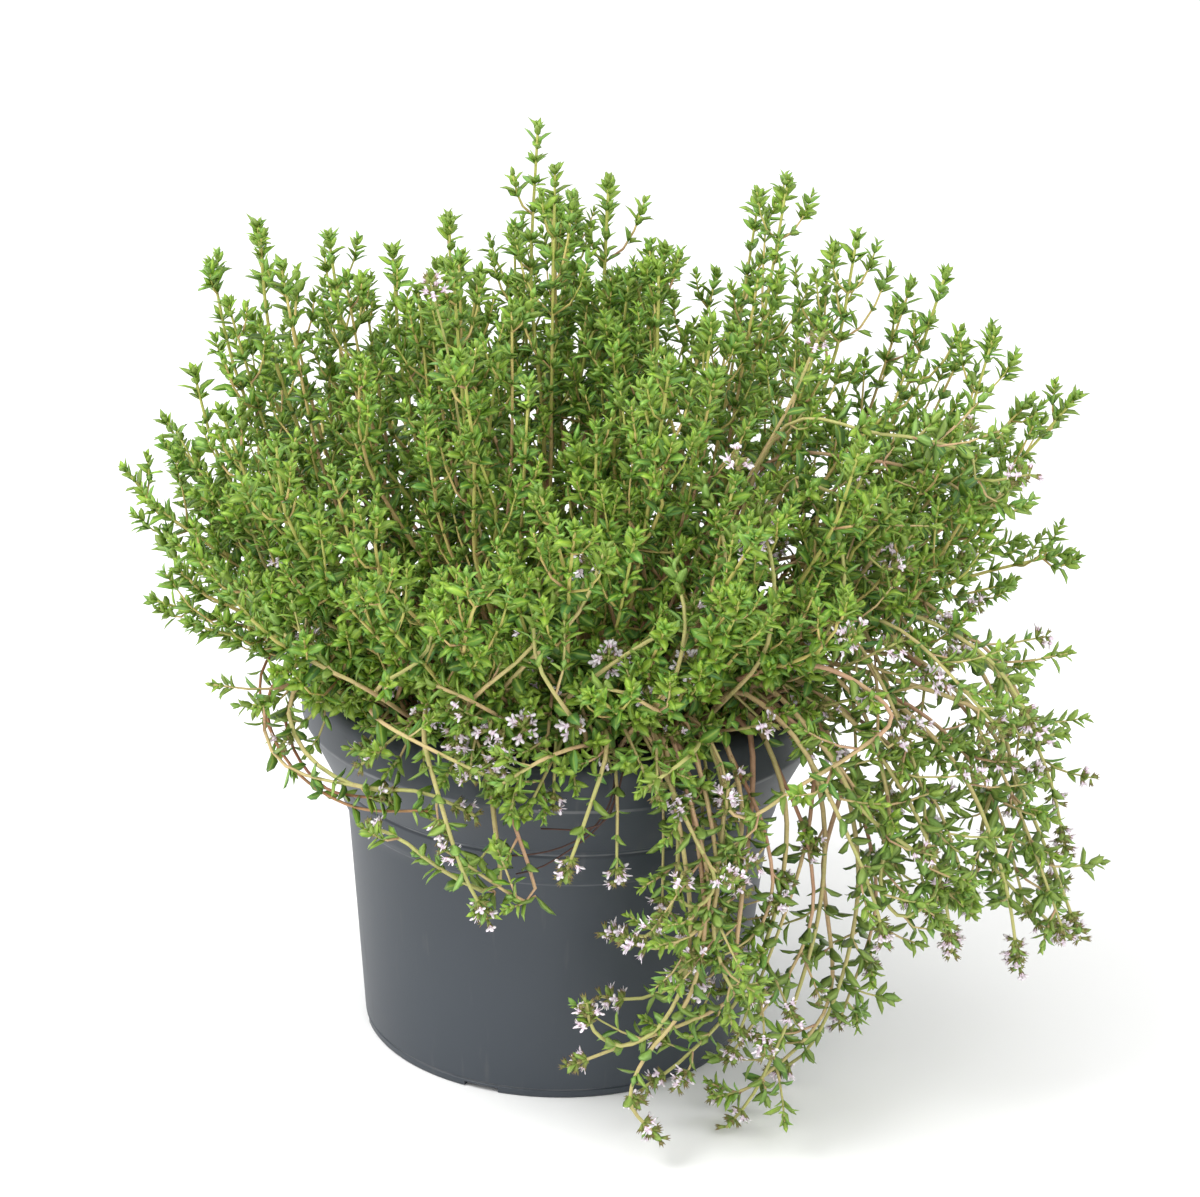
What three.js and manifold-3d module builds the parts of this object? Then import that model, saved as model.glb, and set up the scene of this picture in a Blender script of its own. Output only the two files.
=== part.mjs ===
// Common thyme in a grey nursery pot: a faceted pot, its soil and a node for each leafy stem.
// Millimetres, +Z up, origin at the middle of the pot's base, front of the plant towards -Y.
import * as THREE from 'three';
import { mergeVertices } from 'three/addons/utils/BufferGeometryUtils.js';
import Module from 'manifold-3d';

const wasm = await Module();
wasm.setup();

// The pot
const potSides = 28;
const rimRadius = 95;
const potHeight = 140;
const rimBand = 16; // height of the rim's upright band
const skirtFoot = 103; // height at which the rolled rim's skirt ends
const collarTop = 82; // outer radius of the collar under the rim
const collarFoot = 80.4;
const collarFootZ = 90.5;
const wallTop = 78.3;
const wallTopZ = 88;
const footRadius = 71;
const wall = 1.6;
const floorThickness = 2;
const padRadius = 46; // middle pad that the pot also stands on
const gutterRise = 3.5; // height of the drained gutter round the pad
const gutterRadius = 64;
const drainHoles = { count: 6, radius: 4, ring: 55 };
const footNotches = { count: 6, width: 13, height: 2 };

// The soil and the holes that the stems stand in
const soilSides = 16;
const soilTop = 123;
const mound = 0.9; // height of the low waves in the soil
const fitGap = 0.4;
const rootDepth = 8;
const straightFoot = 2; // a stem stands straight up this far above the soil
const holeDepth = 9;
const holeRadius = 2.3;

// The crown: how high the tips stand at x, y, and how far they are shifted by draws
const crown = { top: 305, drop: 100, halfWidth: 165, halfDepth: 150, shift: 6, unevenness: 12 };
const sway = 2.5; // how far a stem strays from its smooth course
const usualBend = 1.6; // see outlineStems

// Stems and leaves
const stemRadius = { root: 1.25, tip: 0.65 };
const forkRadius = { root: 0.8, tip: 0.55 };
const longestSpan = { upright: 44, crown: 44, trailing: 22, fork: 45 }; // between two rings of corners
const leafBase = 0.8; // half the height of the stretch of stem that a leaf is drawn out of
const internode = 9.5; // distance between two pairs of leaves
const bareLength = 34; // leafless foot of a stem
const leafEvery = { upright: 6, crown: 6, trailing: 4, fork: 12 }; // a pair of leaves at every nth node
const leafLength = 9;
const leafHalfWidth = 1.8;
const leafThickness = 0.9;
const leafWidest = 0.48; // share of a leaf's length at which it is widest
const leafTilt = { tip: 34, step: 10, most: 68 }; // degrees from the stem, opening away from the tip
const leafGrowth = { tip: 0.62, step: 0.1 }; // share of full size, growing away from the tip
const floretLength = 4.6;
const floretHalfWidth = 2.1;
const floretTilt = 1.15;
const spare = 0.35; // least distance between two stems' solids

// Forks: side stems that leave a stem at a share of its length, spread from it and then keep it
// company almost to its tip. turn is their bearing, measured from the way the stem leans.
const standingForks = [{ from: 0.3, to: 0.95, turn: 1.9 }, { from: 0.42, to: 0.86, turn: -1.9 }];
const hangingFork = { from: 0.4, turn: 1.6 }; // its end and its side are given with the stem
const forkApart = 21; // distance of a fork's tip from its stem

// Upright and spreading stems that make the outline, from left to right. lift under 1 makes a
// stem rise first. bend over 1 makes it lean out first and stand upright at its tip.
const outlineStems = [
  { base: [-64, -14], tip: [-145, -22, 168], lift: 0.5, bend: 1 },
  { base: [-66, 2], tip: [-157, -4, 210], lift: 0.75, bend: 1.2 },
  { base: [-60, 14], tip: [-146, 20, 222], lift: 0.85, bend: 1.3 },
  { base: [-56, -8], tip: [-131, -18, 252], lift: 0.95 },
  { base: [-50, 6], tip: [-127, 4, 285], lift: 1 },
  { base: [-43, -8], tip: [-109, -12, 303], lift: 1 },
  { base: [-34, 4], tip: [-86, 4, 296], lift: 1 },
  { base: [-26, -7], tip: [-63, -8, 294], lift: 1 },
  { base: [-17, 5], tip: [-44, 6, 302], lift: 1 },
  { base: [-6, -4], tip: [-14, 0, 337], lift: 1 },
  { base: [6, 6], tip: [11, 10, 317], lift: 1 },
  { base: [14, -7], tip: [31, -12, 299], lift: 1 },
  { base: [26, 4], tip: [73, 2, 321], lift: 1 },
  { base: [37, -6], tip: [97, -10, 305], lift: 1 },
  { base: [45, 6], tip: [130, 4, 289], lift: 1 },
  { base: [52, -7], tip: [146, -14, 272], lift: 0.95 },
  { base: [59, 7], tip: [179, 4, 245], lift: 0.9, bend: 1.2 },
  { base: [60, 22], tip: [160, 34, 222], lift: 0.85, bend: 1.3 },
  { base: [64, 13], tip: [184, 18, 182], lift: 0.5, bend: 1 },
];

// Stems of the rest of the crown, in rows from the front to the back
const crownRows = [
  { y: -126, xs: [-58, 2, 60], lift: 0.8, bend: 1.2 },
  { y: -84, xs: [-98, -32, 28, 92], lift: 0.9 },
  { y: -42, xs: [-40, 44], lift: 1 },
  { y: 44, xs: [-92, -6, 92], lift: 1 },
  { y: 90, xs: [-112, -48, 18, 84], lift: 0.9, bend: 1.3 },
  { y: 128, xs: [-66, 4, 70], lift: 0.8, bend: 1.1 },
];
const rowBase = { share: 0.46, limit: 68 };

// Stems that hang over the rim. Each route is given by hand, from above the soil to the tip.
// A fork has the side that it leaves on and the share of its stem that it reaches.
const trailingStems = [
  {
    base: [-52, -38],
    blooms: 2,
    fork: { side: -1, to: 0.94 },
    route: [
      [-78, -56, 160], [-94, -62, 148], [-88, -74, 134], [-70, -88, 128], [-46, -97, 130],
      [-28, -102, 124],
    ],
  },
  {
    base: [-22, -58],
    blooms: 1,
    fork: { side: 1, to: 0.94 },
    route: [
      [-26, -82, 148], [-22, -101, 124], [-20, -107, 99], [-38, -108, 106], [-52, -106, 116],
      [-64, -101, 119],
    ],
  },
  {
    base: [-36, -54],
    blooms: 2,
    fork: { side: 1, to: 0.6 },
    route: [[-44, -78, 156], [-46, -100, 152], [-40, -114, 136], [-32, -118, 112], [-23, -115, 92]],
  },
  {
    base: [12, -64],
    blooms: 2,
    fork: { side: 1, to: 0.72 },
    route: [[14, -88, 152], [15, -108, 150], [8, -117, 128], [2, -116, 108]],
  },
  {
    base: [26, -60],
    blooms: 2,
    fork: { side: 1, to: 0.94 },
    route: [[33, -84, 148], [40, -102, 124], [39, -108, 96], [31, -104, 82], [17, -98, 80]],
  },
  {
    base: [38, -53],
    blooms: 2,
    fork: { side: 1, to: 0.94 },
    route: [
      [52, -76, 148], [62, -92, 126], [58, -99, 92], [46, -100, 66], [30, -98, 55],
      [16, -95, 54],
    ],
  },
  {
    base: [45, -45],
    blooms: 2,
    fork: { side: 1, to: 0.94 },
    route: [
      [61, -62, 151], [77, -82, 126], [76, -90, 88], [64, -94, 54], [46, -94, 30],
      [33, -93, 18],
    ],
  },
  {
    base: [53, -36],
    blooms: 2,
    fork: { side: -1, to: 0.8 },
    route: [
      [70, -52, 151], [89, -72, 127], [92, -80, 88], [84, -86, 48], [72, -90, 16],
      [62, -94, 3],
    ],
  },
  {
    base: [60, -28],
    blooms: 2,
    fork: { side: 1, to: 0.9 },
    route: [
      [82, -44, 148], [98, -56, 126], [106, -64, 88], [102, -68, 50], [92, -62, 18],
      [80, -56, 4],
    ],
  },
  {
    base: [46, -54],
    blooms: 3,
    fork: { side: 1, to: 0.94 },
    route: [[57, -75, 161], [78, -96, 154], [96, -102, 124], [108, -98, 96], [114, -88, 74]],
  },
  {
    base: [54, -46],
    blooms: 3,
    fork: { side: 1, to: 0.94 },
    route: [[70, -62, 162], [96, -80, 156], [120, -88, 126], [133, -86, 94], [139, -78, 66]],
  },
  {
    base: [62, -40],
    blooms: 3,
    fork: { side: 1, to: 0.94 },
    route: [[80, -50, 158], [108, -62, 158], [138, -70, 132], [156, -70, 92], [165, -64, 54]],
  },
  {
    base: [64, -18],
    blooms: 3,
    fork: { side: -1, to: 0.94 },
    route: [[86, -26, 158], [116, -36, 164], [150, -42, 138], [174, -42, 92], [191, -36, 52]],
  },
  {
    base: [69, -7],
    blooms: 3,
    fork: { side: 1, to: 0.94 },
    route: [[88, -8, 154], [120, -12, 168], [154, -16, 150], [176, -18, 112], [187, -16, 76]],
  },
  {
    base: [58, -14],
    blooms: 3,
    fork: { side: -1, to: 0.94 },
    route: [[78, -34, 172], [112, -58, 186], [144, -76, 176], [163, -84, 150]],
  },
  {
    base: [28, 62],
    blooms: 2,
    fork: { side: 1, to: 0.94 },
    route: [[36, 84, 152], [44, 106, 146], [48, 118, 118], [46, 120, 84]],
  },
  {
    base: [-40, 56],
    blooms: 2,
    fork: { side: -1, to: 0.94 },
    route: [[-56, 78, 152], [-72, 98, 140], [-80, 108, 108], [-78, 110, 72]],
  },
];

const up = new THREE.Vector3(0, 0, 1);
const colours = { pot: 0x4a4f55, soil: 0x2b211b, leaf: 0x5f8a3c, trailing: 0x6f8a4a };

// A number from 0 to 1 that is the same for the same three whole numbers.
function draw(seed, index, channel) {
  const wave = Math.sin(seed * 12.9898 + index * 78.233 + channel * 37.719) * 43758.5453;
  return wave - Math.floor(wave);
}

function spread(seed, index, channel, size) {
  return (draw(seed, index, channel) * 2 - 1) * size;
}

function at(x, y, z) {
  return new THREE.Vector3(x, y, z);
}

// Points that an upright stem passes: straight up out of the soil, then over to its tip.
function uprightRoute(stem) {
  const [x, y] = stem.base;
  const [tipX, tipY, tipZ] = stem.tip;
  const { lift, bend = usualBend } = stem;
  const route = [at(x, y, soilTop - rootDepth), at(x, y, soilTop + straightFoot)];
  [0.22, 0.48, 0.74, 1].forEach((share, i) => {
    const stray = share < 1 ? sway : 0;
    const out = 1 - (1 - share) ** bend;
    route.push(at(
      x + (tipX - x) * out + spread(stem.seed, i, 1, stray),
      y + (tipY - y) * out + spread(stem.seed, i, 2, stray),
      soilTop + (tipZ - soilTop) * share ** lift,
    ));
  });
  return route;
}

function trailingRoute(stem) {
  const [x, y] = stem.base;
  const foot = [at(x, y, soilTop - rootDepth), at(x, y, soilTop + straightFoot)];
  return [...foot, ...stem.route.map((p) => at(...p))];
}

// A smooth curve through the route, as evenly counted samples with their length and a frame
// that doesn't twist.
function traceAxis(route, side, perSpan = 6) {
  const first = route[0].clone().multiplyScalar(2).sub(route[1]);
  const last = route.at(-1).clone().multiplyScalar(2).sub(route.at(-2));
  const guide = [first, ...route, last];
  const points = [];
  for (let span = 0; span < route.length - 1; span += 1) {
    const [a, b, c, d] = guide.slice(span, span + 4);
    const steps = span === route.length - 2 ? perSpan + 1 : perSpan;
    for (let i = 0; i < steps; i += 1) {
      const t = i / perSpan;
      const weights = [
        ((2 - t) * t - 1) * t / 2,
        ((3 * t - 5) * t * t + 2) / 2,
        ((4 - 3 * t) * t + 1) * t / 2,
        (t - 1) * t * t / 2,
      ];
      const point = at(0, 0, 0);
      [a, b, c, d].forEach((p, k) => point.addScaledVector(p, weights[k]));
      points.push(point);
    }
  }
  const lengths = [0];
  for (let i = 1; i < points.length; i += 1) {
    lengths.push(lengths[i - 1] + points[i].distanceTo(points[i - 1]));
  }
  let across = side.clone();
  const frames = points.map((p, i) => {
    const ahead = points[Math.min(i + 1, points.length - 1)];
    const behind = points[Math.max(i - 1, 0)];
    const along = ahead.clone().sub(behind).normalize();
    across = across.clone().addScaledVector(along, -across.dot(along)).normalize();
    return { along, across };
  });
  return { points, lengths, frames, length: lengths.at(-1) };
}

// Place and frame at a length along an axis.
function placeAt(axis, length) {
  const s = Math.min(Math.max(length, 0), axis.length);
  let i = 1;
  while (i < axis.points.length - 1 && axis.lengths[i] < s) i += 1;
  const t = (s - axis.lengths[i - 1]) / (axis.lengths[i] - axis.lengths[i - 1]);
  const along = axis.frames[i - 1].along.clone().lerp(axis.frames[i].along, t).normalize();
  const across = axis.frames[i - 1].across.clone().lerp(axis.frames[i].across, t);
  across.addScaledVector(along, -across.dot(along)).normalize();
  return {
    point: axis.points[i - 1].clone().lerp(axis.points[i], t),
    along,
    across,
    aside: across.clone().cross(along),
  };
}

// Where the pairs of leaves sit, counted from the tip.
function leafNodes(axis, seed, bare) {
  const nodes = [];
  for (let i = 0; ; i += 1) {
    const length = axis.length - 2 - i * internode + spread(seed, i, 3, 1.5);
    if (length < bare) return nodes;
    nodes.push({ i, length, place: placeAt(axis, length) });
  }
}

// Lengths of the rings of corners: two round each node that is kept, and more where the stem
// would otherwise be too coarse.
function ringLengths(first, nodes, span) {
  const marks = nodes.flatMap(({ length }) => [length + leafBase, length - leafBase]).reverse();
  const lengths = [...first];
  marks.forEach((mark) => {
    const gap = mark - lengths.at(-1);
    const parts = Math.ceil(gap / span);
    for (let k = 1; k <= parts; k += 1) lengths.push(mark - gap * (parts - k) / parts);
  });
  return lengths;
}

// Direction of a leaf or floret that leaves one side of a node at a tilt from the stem.
function heading({ place }, side, tilt) {
  const turn = (side + 0.5) * Math.PI / 2;
  return place.along.clone().multiplyScalar(Math.cos(tilt))
    .addScaledVector(place.across, Math.sin(tilt) * Math.cos(turn))
    .addScaledVector(place.aside, Math.sin(tilt) * Math.sin(turn));
}

// Solids: a three.js geometry as a solid that can be joined and cut, and back again.
function asSolid(geometry) {
  geometry.deleteAttribute('normal');
  geometry.deleteAttribute('uv');
  const merged = mergeVertices(geometry, 1e-4);
  return new wasm.Manifold(new wasm.Mesh({
    numProp: 3,
    vertProperties: new Float32Array(merged.attributes.position.array),
    triVerts: new Uint32Array(merged.index.array),
  }));
}

function asMesh(solid, name, colour, roughness) {
  const mesh = solid.getMesh();
  const geometry = new THREE.BufferGeometry();
  geometry.setAttribute('position', new THREE.BufferAttribute(mesh.vertProperties, 3));
  geometry.setIndex(new THREE.BufferAttribute(mesh.triVerts, 1));
  geometry.computeVertexNormals();
  const material = new THREE.MeshStandardMaterial({ color: colour, roughness, metalness: 0 });
  const result = new THREE.Mesh(geometry, material);
  result.name = name;
  return result;
}

// The far corners of a leaf, folded along its rib and pointing to a tip: left, right, tip.
function leafCorners(place, direction, length, halfWidth) {
  const flat = place.along.clone().cross(direction).normalize();
  const above = direction.clone().cross(flat);
  const middle = place.point.clone().addScaledVector(direction, length * leafWidest)
    .addScaledVector(above, leafThickness);
  return [
    middle.clone().addScaledVector(flat, halfWidth),
    middle.clone().addScaledVector(flat, -halfWidth),
    place.point.clone().addScaledVector(direction, length),
  ];
}

// The mouth of a floret, a funnel with three corners: left, right, lip.
function floretCorners(place, direction) {
  const flat = place.along.clone().cross(direction).normalize();
  const above = direction.clone().cross(flat);
  const mouth = place.point.clone().addScaledVector(direction, floretLength);
  const upper = mouth.clone().addScaledVector(above, floretHalfWidth);
  return [
    upper.clone().addScaledVector(flat, floretHalfWidth),
    upper.clone().addScaledVector(flat, -floretHalfWidth),
    mouth.clone().addScaledVector(above, -floretHalfWidth),
  ];
}

// A square stem with a ring of four corners at each length of its axis. Leaves and florets are
// drawn out of its faces: drawn holds their far corners by the ring below them and the side.
function squareStem(axis, lengths, radius, drawn) {
  const corners = lengths.flatMap((length) => {
    const place = placeAt(axis, length);
    const size = radius.root + (radius.tip - radius.root) * length / axis.length;
    return [[size, 0], [0, size], [-size, 0], [0, -size]].map(([x, y]) => place.point.clone()
      .addScaledVector(place.across, x).addScaledVector(place.aside, y));
  });
  const end = corners.length - 4;
  const faces = [[0, 1, 2], [0, 2, 3], [end + 3, end + 2, end + 1], [end + 3, end + 1, end]];
  for (let ring = 0; ring < lengths.length - 1; ring += 1) {
    for (let side = 0; side < 4; side += 1) {
      const a = ring * 4 + side;
      const b = ring * 4 + (side + 1) % 4;
      const [c, d] = [b + 4, a + 4];
      const far = drawn.get(`${ring} ${side}`);
      if (far) {
        const left = corners.push(...far) - 3;
        const [right, tip] = [left + 1, left + 2];
        faces.push(
          [a, d, left], [d, c, right], [d, right, left], [c, b, right], [b, a, tip],
          [a, left, tip], [b, tip, right], [left, right, tip],
        );
      } else {
        faces.push([a, d, c], [a, c, b]);
      }
    }
  }
  const geometry = new THREE.BufferGeometry();
  const numbers = corners.flatMap((p) => p.toArray());
  geometry.setAttribute('position', new THREE.Float32BufferAttribute(numbers, 3));
  geometry.setIndex(faces.flat());
  return asSolid(geometry);
}

// Room: every stem's parts are kept as thick lines, so that a leaf, floret or fork that would meet
// another stem's is left out.
const taken = [];

function take(owner, a, b, radius) {
  taken.push({ owner, a, b, radius });
}

function lineDistance(p1, q1, p2, q2) {
  const d1 = q1.clone().sub(p1);
  const d2 = q2.clone().sub(p2);
  const r = p1.clone().sub(p2);
  const a = d1.dot(d1);
  const e = d2.dot(d2);
  const f = d2.dot(r);
  const c = d1.dot(r);
  const b = d1.dot(d2);
  const denominator = a * e - b * b;
  let s = denominator > 1e-9 ? THREE.MathUtils.clamp((b * f - c * e) / denominator, 0, 1) : 0;
  let t = (b * s + f) / e;
  if (t < 0 || t > 1) {
    t = THREE.MathUtils.clamp(t, 0, 1);
    s = THREE.MathUtils.clamp((b * t - c) / a, 0, 1);
  }
  return p1.clone().addScaledVector(d1, s).distanceTo(p2.clone().addScaledVector(d2, t));
}

function clearOfOthers(owner, a, b, radius) {
  return taken.every((line) => line.owner === owner
    || lineDistance(a, b, line.a, line.b) > radius + line.radius + spare);
}

// True above the floor and the soil, and clear of the pot's rim and wall.
function clearOfPot(point, radius) {
  const out = Math.hypot(point.x, point.y);
  const reach = radius + spare;
  if (point.z < reach) return false;
  if (out < collarTop) return point.z > (out > collarTop - 4 - reach ? potHeight : soilTop + 3) + reach;
  if (out < rimRadius + reach) return point.z > potHeight + reach || point.z < 0;
  return true;
}

function clearLine(owner, a, b, radius) {
  const steps = [0.35, 0.7, 1].map((t) => a.clone().lerp(b, t));
  return steps.every((p) => clearOfPot(p, radius)) && clearOfOthers(owner, a, b, radius);
}

// The pot's outline, from the middle of its underside out, up, over the rolled rim and back down
// inside. The roll is hollow and open below, where its skirt ends just clear of the collar.
function potProfile() {
  const bandFoot = potHeight - rimBand;
  return [
    [0, 0], [padRadius, 0], [padRadius + 1.5, gutterRise], [gutterRadius, gutterRise],
    [gutterRadius + 1.5, 0], [footRadius, 0], [footRadius + 0.8, 3.2],
    [wallTop, wallTopZ - 0.5], [collarFoot, collarFootZ], [collarTop, skirtFoot],
    [collarTop + 0.6, potHeight - 4.5], [rimRadius - 3.6, potHeight - 4.5],
    [rimRadius - wall, bandFoot + 1], [collarTop + 1.6, skirtFoot + 1.4],
    [collarTop + 2.4, skirtFoot], [rimRadius - 0.7, bandFoot - 2], [rimRadius, bandFoot],
    [rimRadius, potHeight - 5.5], [rimRadius - 1.6, potHeight - 1.6], [rimRadius - 5, potHeight],
    [collarTop + 1, potHeight - 1], [collarTop - 1, potHeight - 5],
    [collarTop - wall, skirtFoot], [wallTop - wall, wallTopZ - 0.5],
    [footRadius - wall, gutterRise + floorThickness],
    [padRadius, gutterRise + floorThickness], [padRadius - 1.5, floorThickness],
    [0, floorThickness],
  ];
}

function lathe(profile, sides) {
  return new THREE.LatheGeometry(profile.map(([r, z]) => new THREE.Vector2(r, z)), sides)
    .rotateX(Math.PI / 2);
}

function makePot() {
  let pot = asSolid(lathe(potProfile(), potSides));
  for (let i = 0; i < drainHoles.count; i += 1) {
    const angle = (i + 0.5) / drainHoles.count * Math.PI * 2;
    const hole = new THREE.CylinderGeometry(drainHoles.radius, drainHoles.radius, 8, 6)
      .rotateX(Math.PI / 2)
      .translate(Math.cos(angle) * drainHoles.ring, Math.sin(angle) * drainHoles.ring, gutterRise + 1);
    pot = pot.subtract(asSolid(hole));
  }
  for (let i = 0; i < footNotches.count; i += 1) {
    const notch = new THREE.BoxGeometry(14, footNotches.width, footNotches.height * 2)
      .translate(footRadius - 1, 0, 0)
      .rotateZ((i + 0.15) / footNotches.count * Math.PI * 2);
    pot = pot.subtract(asSolid(notch));
  }
  return asMesh(pot, 'pot', colours.pot, 0.5);
}

// Soil that fills the pot, with low mounds and a plain square hole for each stem.
function makeSoil(stems) {
  const inside = (radius) => radius - wall - fitGap - 0.4;
  const profile = [
    [0, floorThickness + fitGap], [padRadius - 2.2, floorThickness + fitGap],
    [padRadius - 0.7, gutterRise + floorThickness + fitGap],
    [inside(footRadius) - 0.2, gutterRise + floorThickness + fitGap],
    [inside(wallTop) - 0.2, wallTopZ - 0.5], [inside(collarTop) - 0.2, skirtFoot],
    [inside(collarTop), soilTop - 3], [62, soilTop], [30, soilTop], [0, soilTop],
  ];
  const body = lathe(profile, soilSides);
  const spot = body.attributes.position;
  for (let i = 0; i < spot.count; i += 1) {
    const [x, y, z] = [spot.getX(i), spot.getY(i), spot.getZ(i)];
    if (z > soilTop - 1) spot.setZ(i, z + mound * (Math.sin(x * 0.13) + Math.cos(y * 0.11 + 1)));
  }
  let soil = asSolid(body);
  for (const stem of stems) {
    const hole = new THREE.CylinderGeometry(holeRadius, holeRadius, holeDepth * 2, 4)
      .rotateX(Math.PI / 2)
      .rotateZ(stem.seed)
      .translate(stem.base[0], stem.base[1], soilTop);
    soil = soil.subtract(asSolid(hole));
  }
  return asMesh(soil, 'soil', colours.soil, 1);
}

// All stems, with a seed and a name each.
function listStems() {
  const stems = outlineStems.map((stem) => ({ ...stem, kind: 'upright' }));
  crownRows.forEach((row, r) => row.xs.forEach((x, i) => {
    const shift = [spread(r, i, 5, crown.shift), spread(r, i, 6, crown.shift)];
    const out = (x / crown.halfWidth) ** 2 + (row.y / crown.halfDepth) ** 2;
    const height = crown.top - crown.drop * out + spread(r, i, 7, crown.unevenness);
    const reach = Math.min(rowBase.share, rowBase.limit / Math.hypot(x, row.y));
    stems.push({
      base: [x * reach, row.y * reach],
      tip: [x + shift[0], row.y + shift[1], height],
      lift: row.lift,
      bend: row.bend,
      kind: 'crown',
    });
  }));
  stems.push(...trailingStems.map((stem) => ({ ...stem, kind: 'trailing' })));
  return stems.map((stem, i) => ({ ...stem, seed: i + 1 }));
}

function prepare(stem) {
  const route = stem.kind === 'trailing' ? trailingRoute(stem) : uprightRoute(stem);
  const angle = draw(stem.seed, 0, 8) * Math.PI * 2;
  const axis = traceAxis(route, at(Math.cos(angle), Math.sin(angle), 0));
  const kept = ({ i }) => i % leafEvery[stem.kind] === 0 || i < (stem.blooms ?? 0);
  const nodes = leafNodes(axis, stem.seed, bareLength).filter(kept);
  const lengths = ringLengths([0, rootDepth + straightFoot], nodes, longestSpan[stem.kind]);
  return { ...stem, axis, nodes, lengths };
}

function takeAxis(stem) {
  for (let k = 1; k < stem.lengths.length; k += 1) {
    const a = placeAt(stem.axis, stem.lengths[k - 1]).point;
    const b = placeAt(stem.axis, stem.lengths[k]).point;
    take(stem.seed, a, b, stemRadius.root);
  }
}

// A pair of leaves at a node. Each is left out where it would meet something else.
function addPair(owner, node, seed, drawOut) {
  const grown = Math.min(1, leafGrowth.tip + leafGrowth.step * node.i);
  const opened = Math.min(leafTilt.most, leafTilt.tip + leafTilt.step * node.i);
  const tilt = THREE.MathUtils.degToRad(opened + spread(seed, node.i, 9, 8));
  [0, 2].forEach((turn, side) => {
    const direction = heading(node, node.i + turn, tilt);
    const length = leafLength * grown * (0.88 + 0.24 * draw(seed, node.i, 10 + side));
    const far = leafCorners(node.place, direction, length, leafHalfWidth * grown);
    if (!clearLine(owner, node.place.point, far[2], leafHalfWidth * grown)) return;
    take(owner, node.place.point, far[2], leafHalfWidth * grown);
    drawOut(node, node.i + turn, far);
  });
}

// Two florets between the leaves of a node.
function addFlorets(owner, node, seed, drawOut) {
  [1, 3].forEach((turn, side) => {
    const direction = heading(node, node.i + turn, floretTilt + spread(seed, side, 12, 0.2));
    const tip = node.place.point.clone().addScaledVector(direction, floretLength);
    if (!clearLine(owner, node.place.point, tip, floretHalfWidth)) return;
    take(owner, node.place.point, tip, floretHalfWidth);
    drawOut(node, node.i + turn, floretCorners(node.place, direction));
  });
}

// A stem or fork with what its nodes carry.
function dress(owner, twig, radius, blooms, every, seed) {
  const drawn = new Map();
  const drawOut = (node, side, far) => {
    const ring = twig.lengths.indexOf(node.length - leafBase);
    drawn.set(`${ring} ${side % 4}`, far);
  };
  twig.nodes.forEach((node) => {
    if (node.i < blooms) addFlorets(owner, node, seed, drawOut);
    if (node.i % every === 0) addPair(owner, node, seed, drawOut);
  });
  return squareStem(twig.axis, twig.lengths, radius, drawn);
}

// The course of a fork and where its nodes are.
function forkTwig(stem, fork, seed) {
  const [x, y] = stem.kind === 'trailing' ? stem.route.at(-1) : stem.tip;
  const bearing = Math.atan2(y, x) + fork.turn * (fork.side ?? 1);
  const aside = at(Math.cos(bearing), Math.sin(bearing), 0);
  const root = stem.lengths.findLast((length) => length <= stem.axis.length * fork.from);
  const route = [0, 0.25, 0.55, 1].map((t) => {
    const length = root + (stem.axis.length * fork.to - root) * t;
    return placeAt(stem.axis, length).point.addScaledVector(aside, forkApart * Math.sin(t * Math.PI / 2));
  });
  const axis = traceAxis(route, aside, 4);
  const nodes = leafNodes(axis, seed, 20).filter(({ i }) => i % leafEvery.fork === 0);
  return { axis, nodes, lengths: ringLengths([0], nodes, longestSpan.fork) };
}

function addFork(stem, fork, seed, solids) {
  const twig = forkTwig(stem, fork, seed);
  const spans = twig.lengths.slice(1).map((length, k) => [
    placeAt(twig.axis, twig.lengths[k]).point, placeAt(twig.axis, length).point, forkRadius.root,
  ]);
  if (!spans.every((span) => clearLine(stem.seed, ...span))) return;
  spans.forEach((span) => take(stem.seed, ...span));
  solids.push(dress(stem.seed, twig, forkRadius, stem.blooms ? 1 : 0, leafEvery.fork, seed));
}

function growStem(stem) {
  const trails = stem.kind === 'trailing';
  const solids = [dress(stem.seed, stem, stemRadius, stem.blooms ?? 0, leafEvery[stem.kind], stem.seed)];
  const forks = trails ? [{ ...hangingFork, ...stem.fork }] : standingForks;
  forks.forEach((fork, k) => addFork(stem, fork, stem.seed * 50 + k, solids));
  const body = solids.reduce((whole, part) => whole.add(part));
  const number = String(stem.seed).padStart(2, '0');
  return asMesh(body, `${stem.kind}_stem_${number}`, trails ? colours.trailing : colours.leaf, 0.7);
}

const plant = new THREE.Group();
const stems = listStems().map(prepare);
stems.forEach(takeAxis);
plant.add(makePot(), makeSoil(stems), ...stems.map(growStem));

export default plant;
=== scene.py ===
# Common thyme in a grey nursery pot. The plant is grown in millimetres by the same rules as the
# solids of the frame, and every finished piece is scaled to metres.
import math

import bmesh
import bpy
from mathutils import Matrix, Vector


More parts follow.
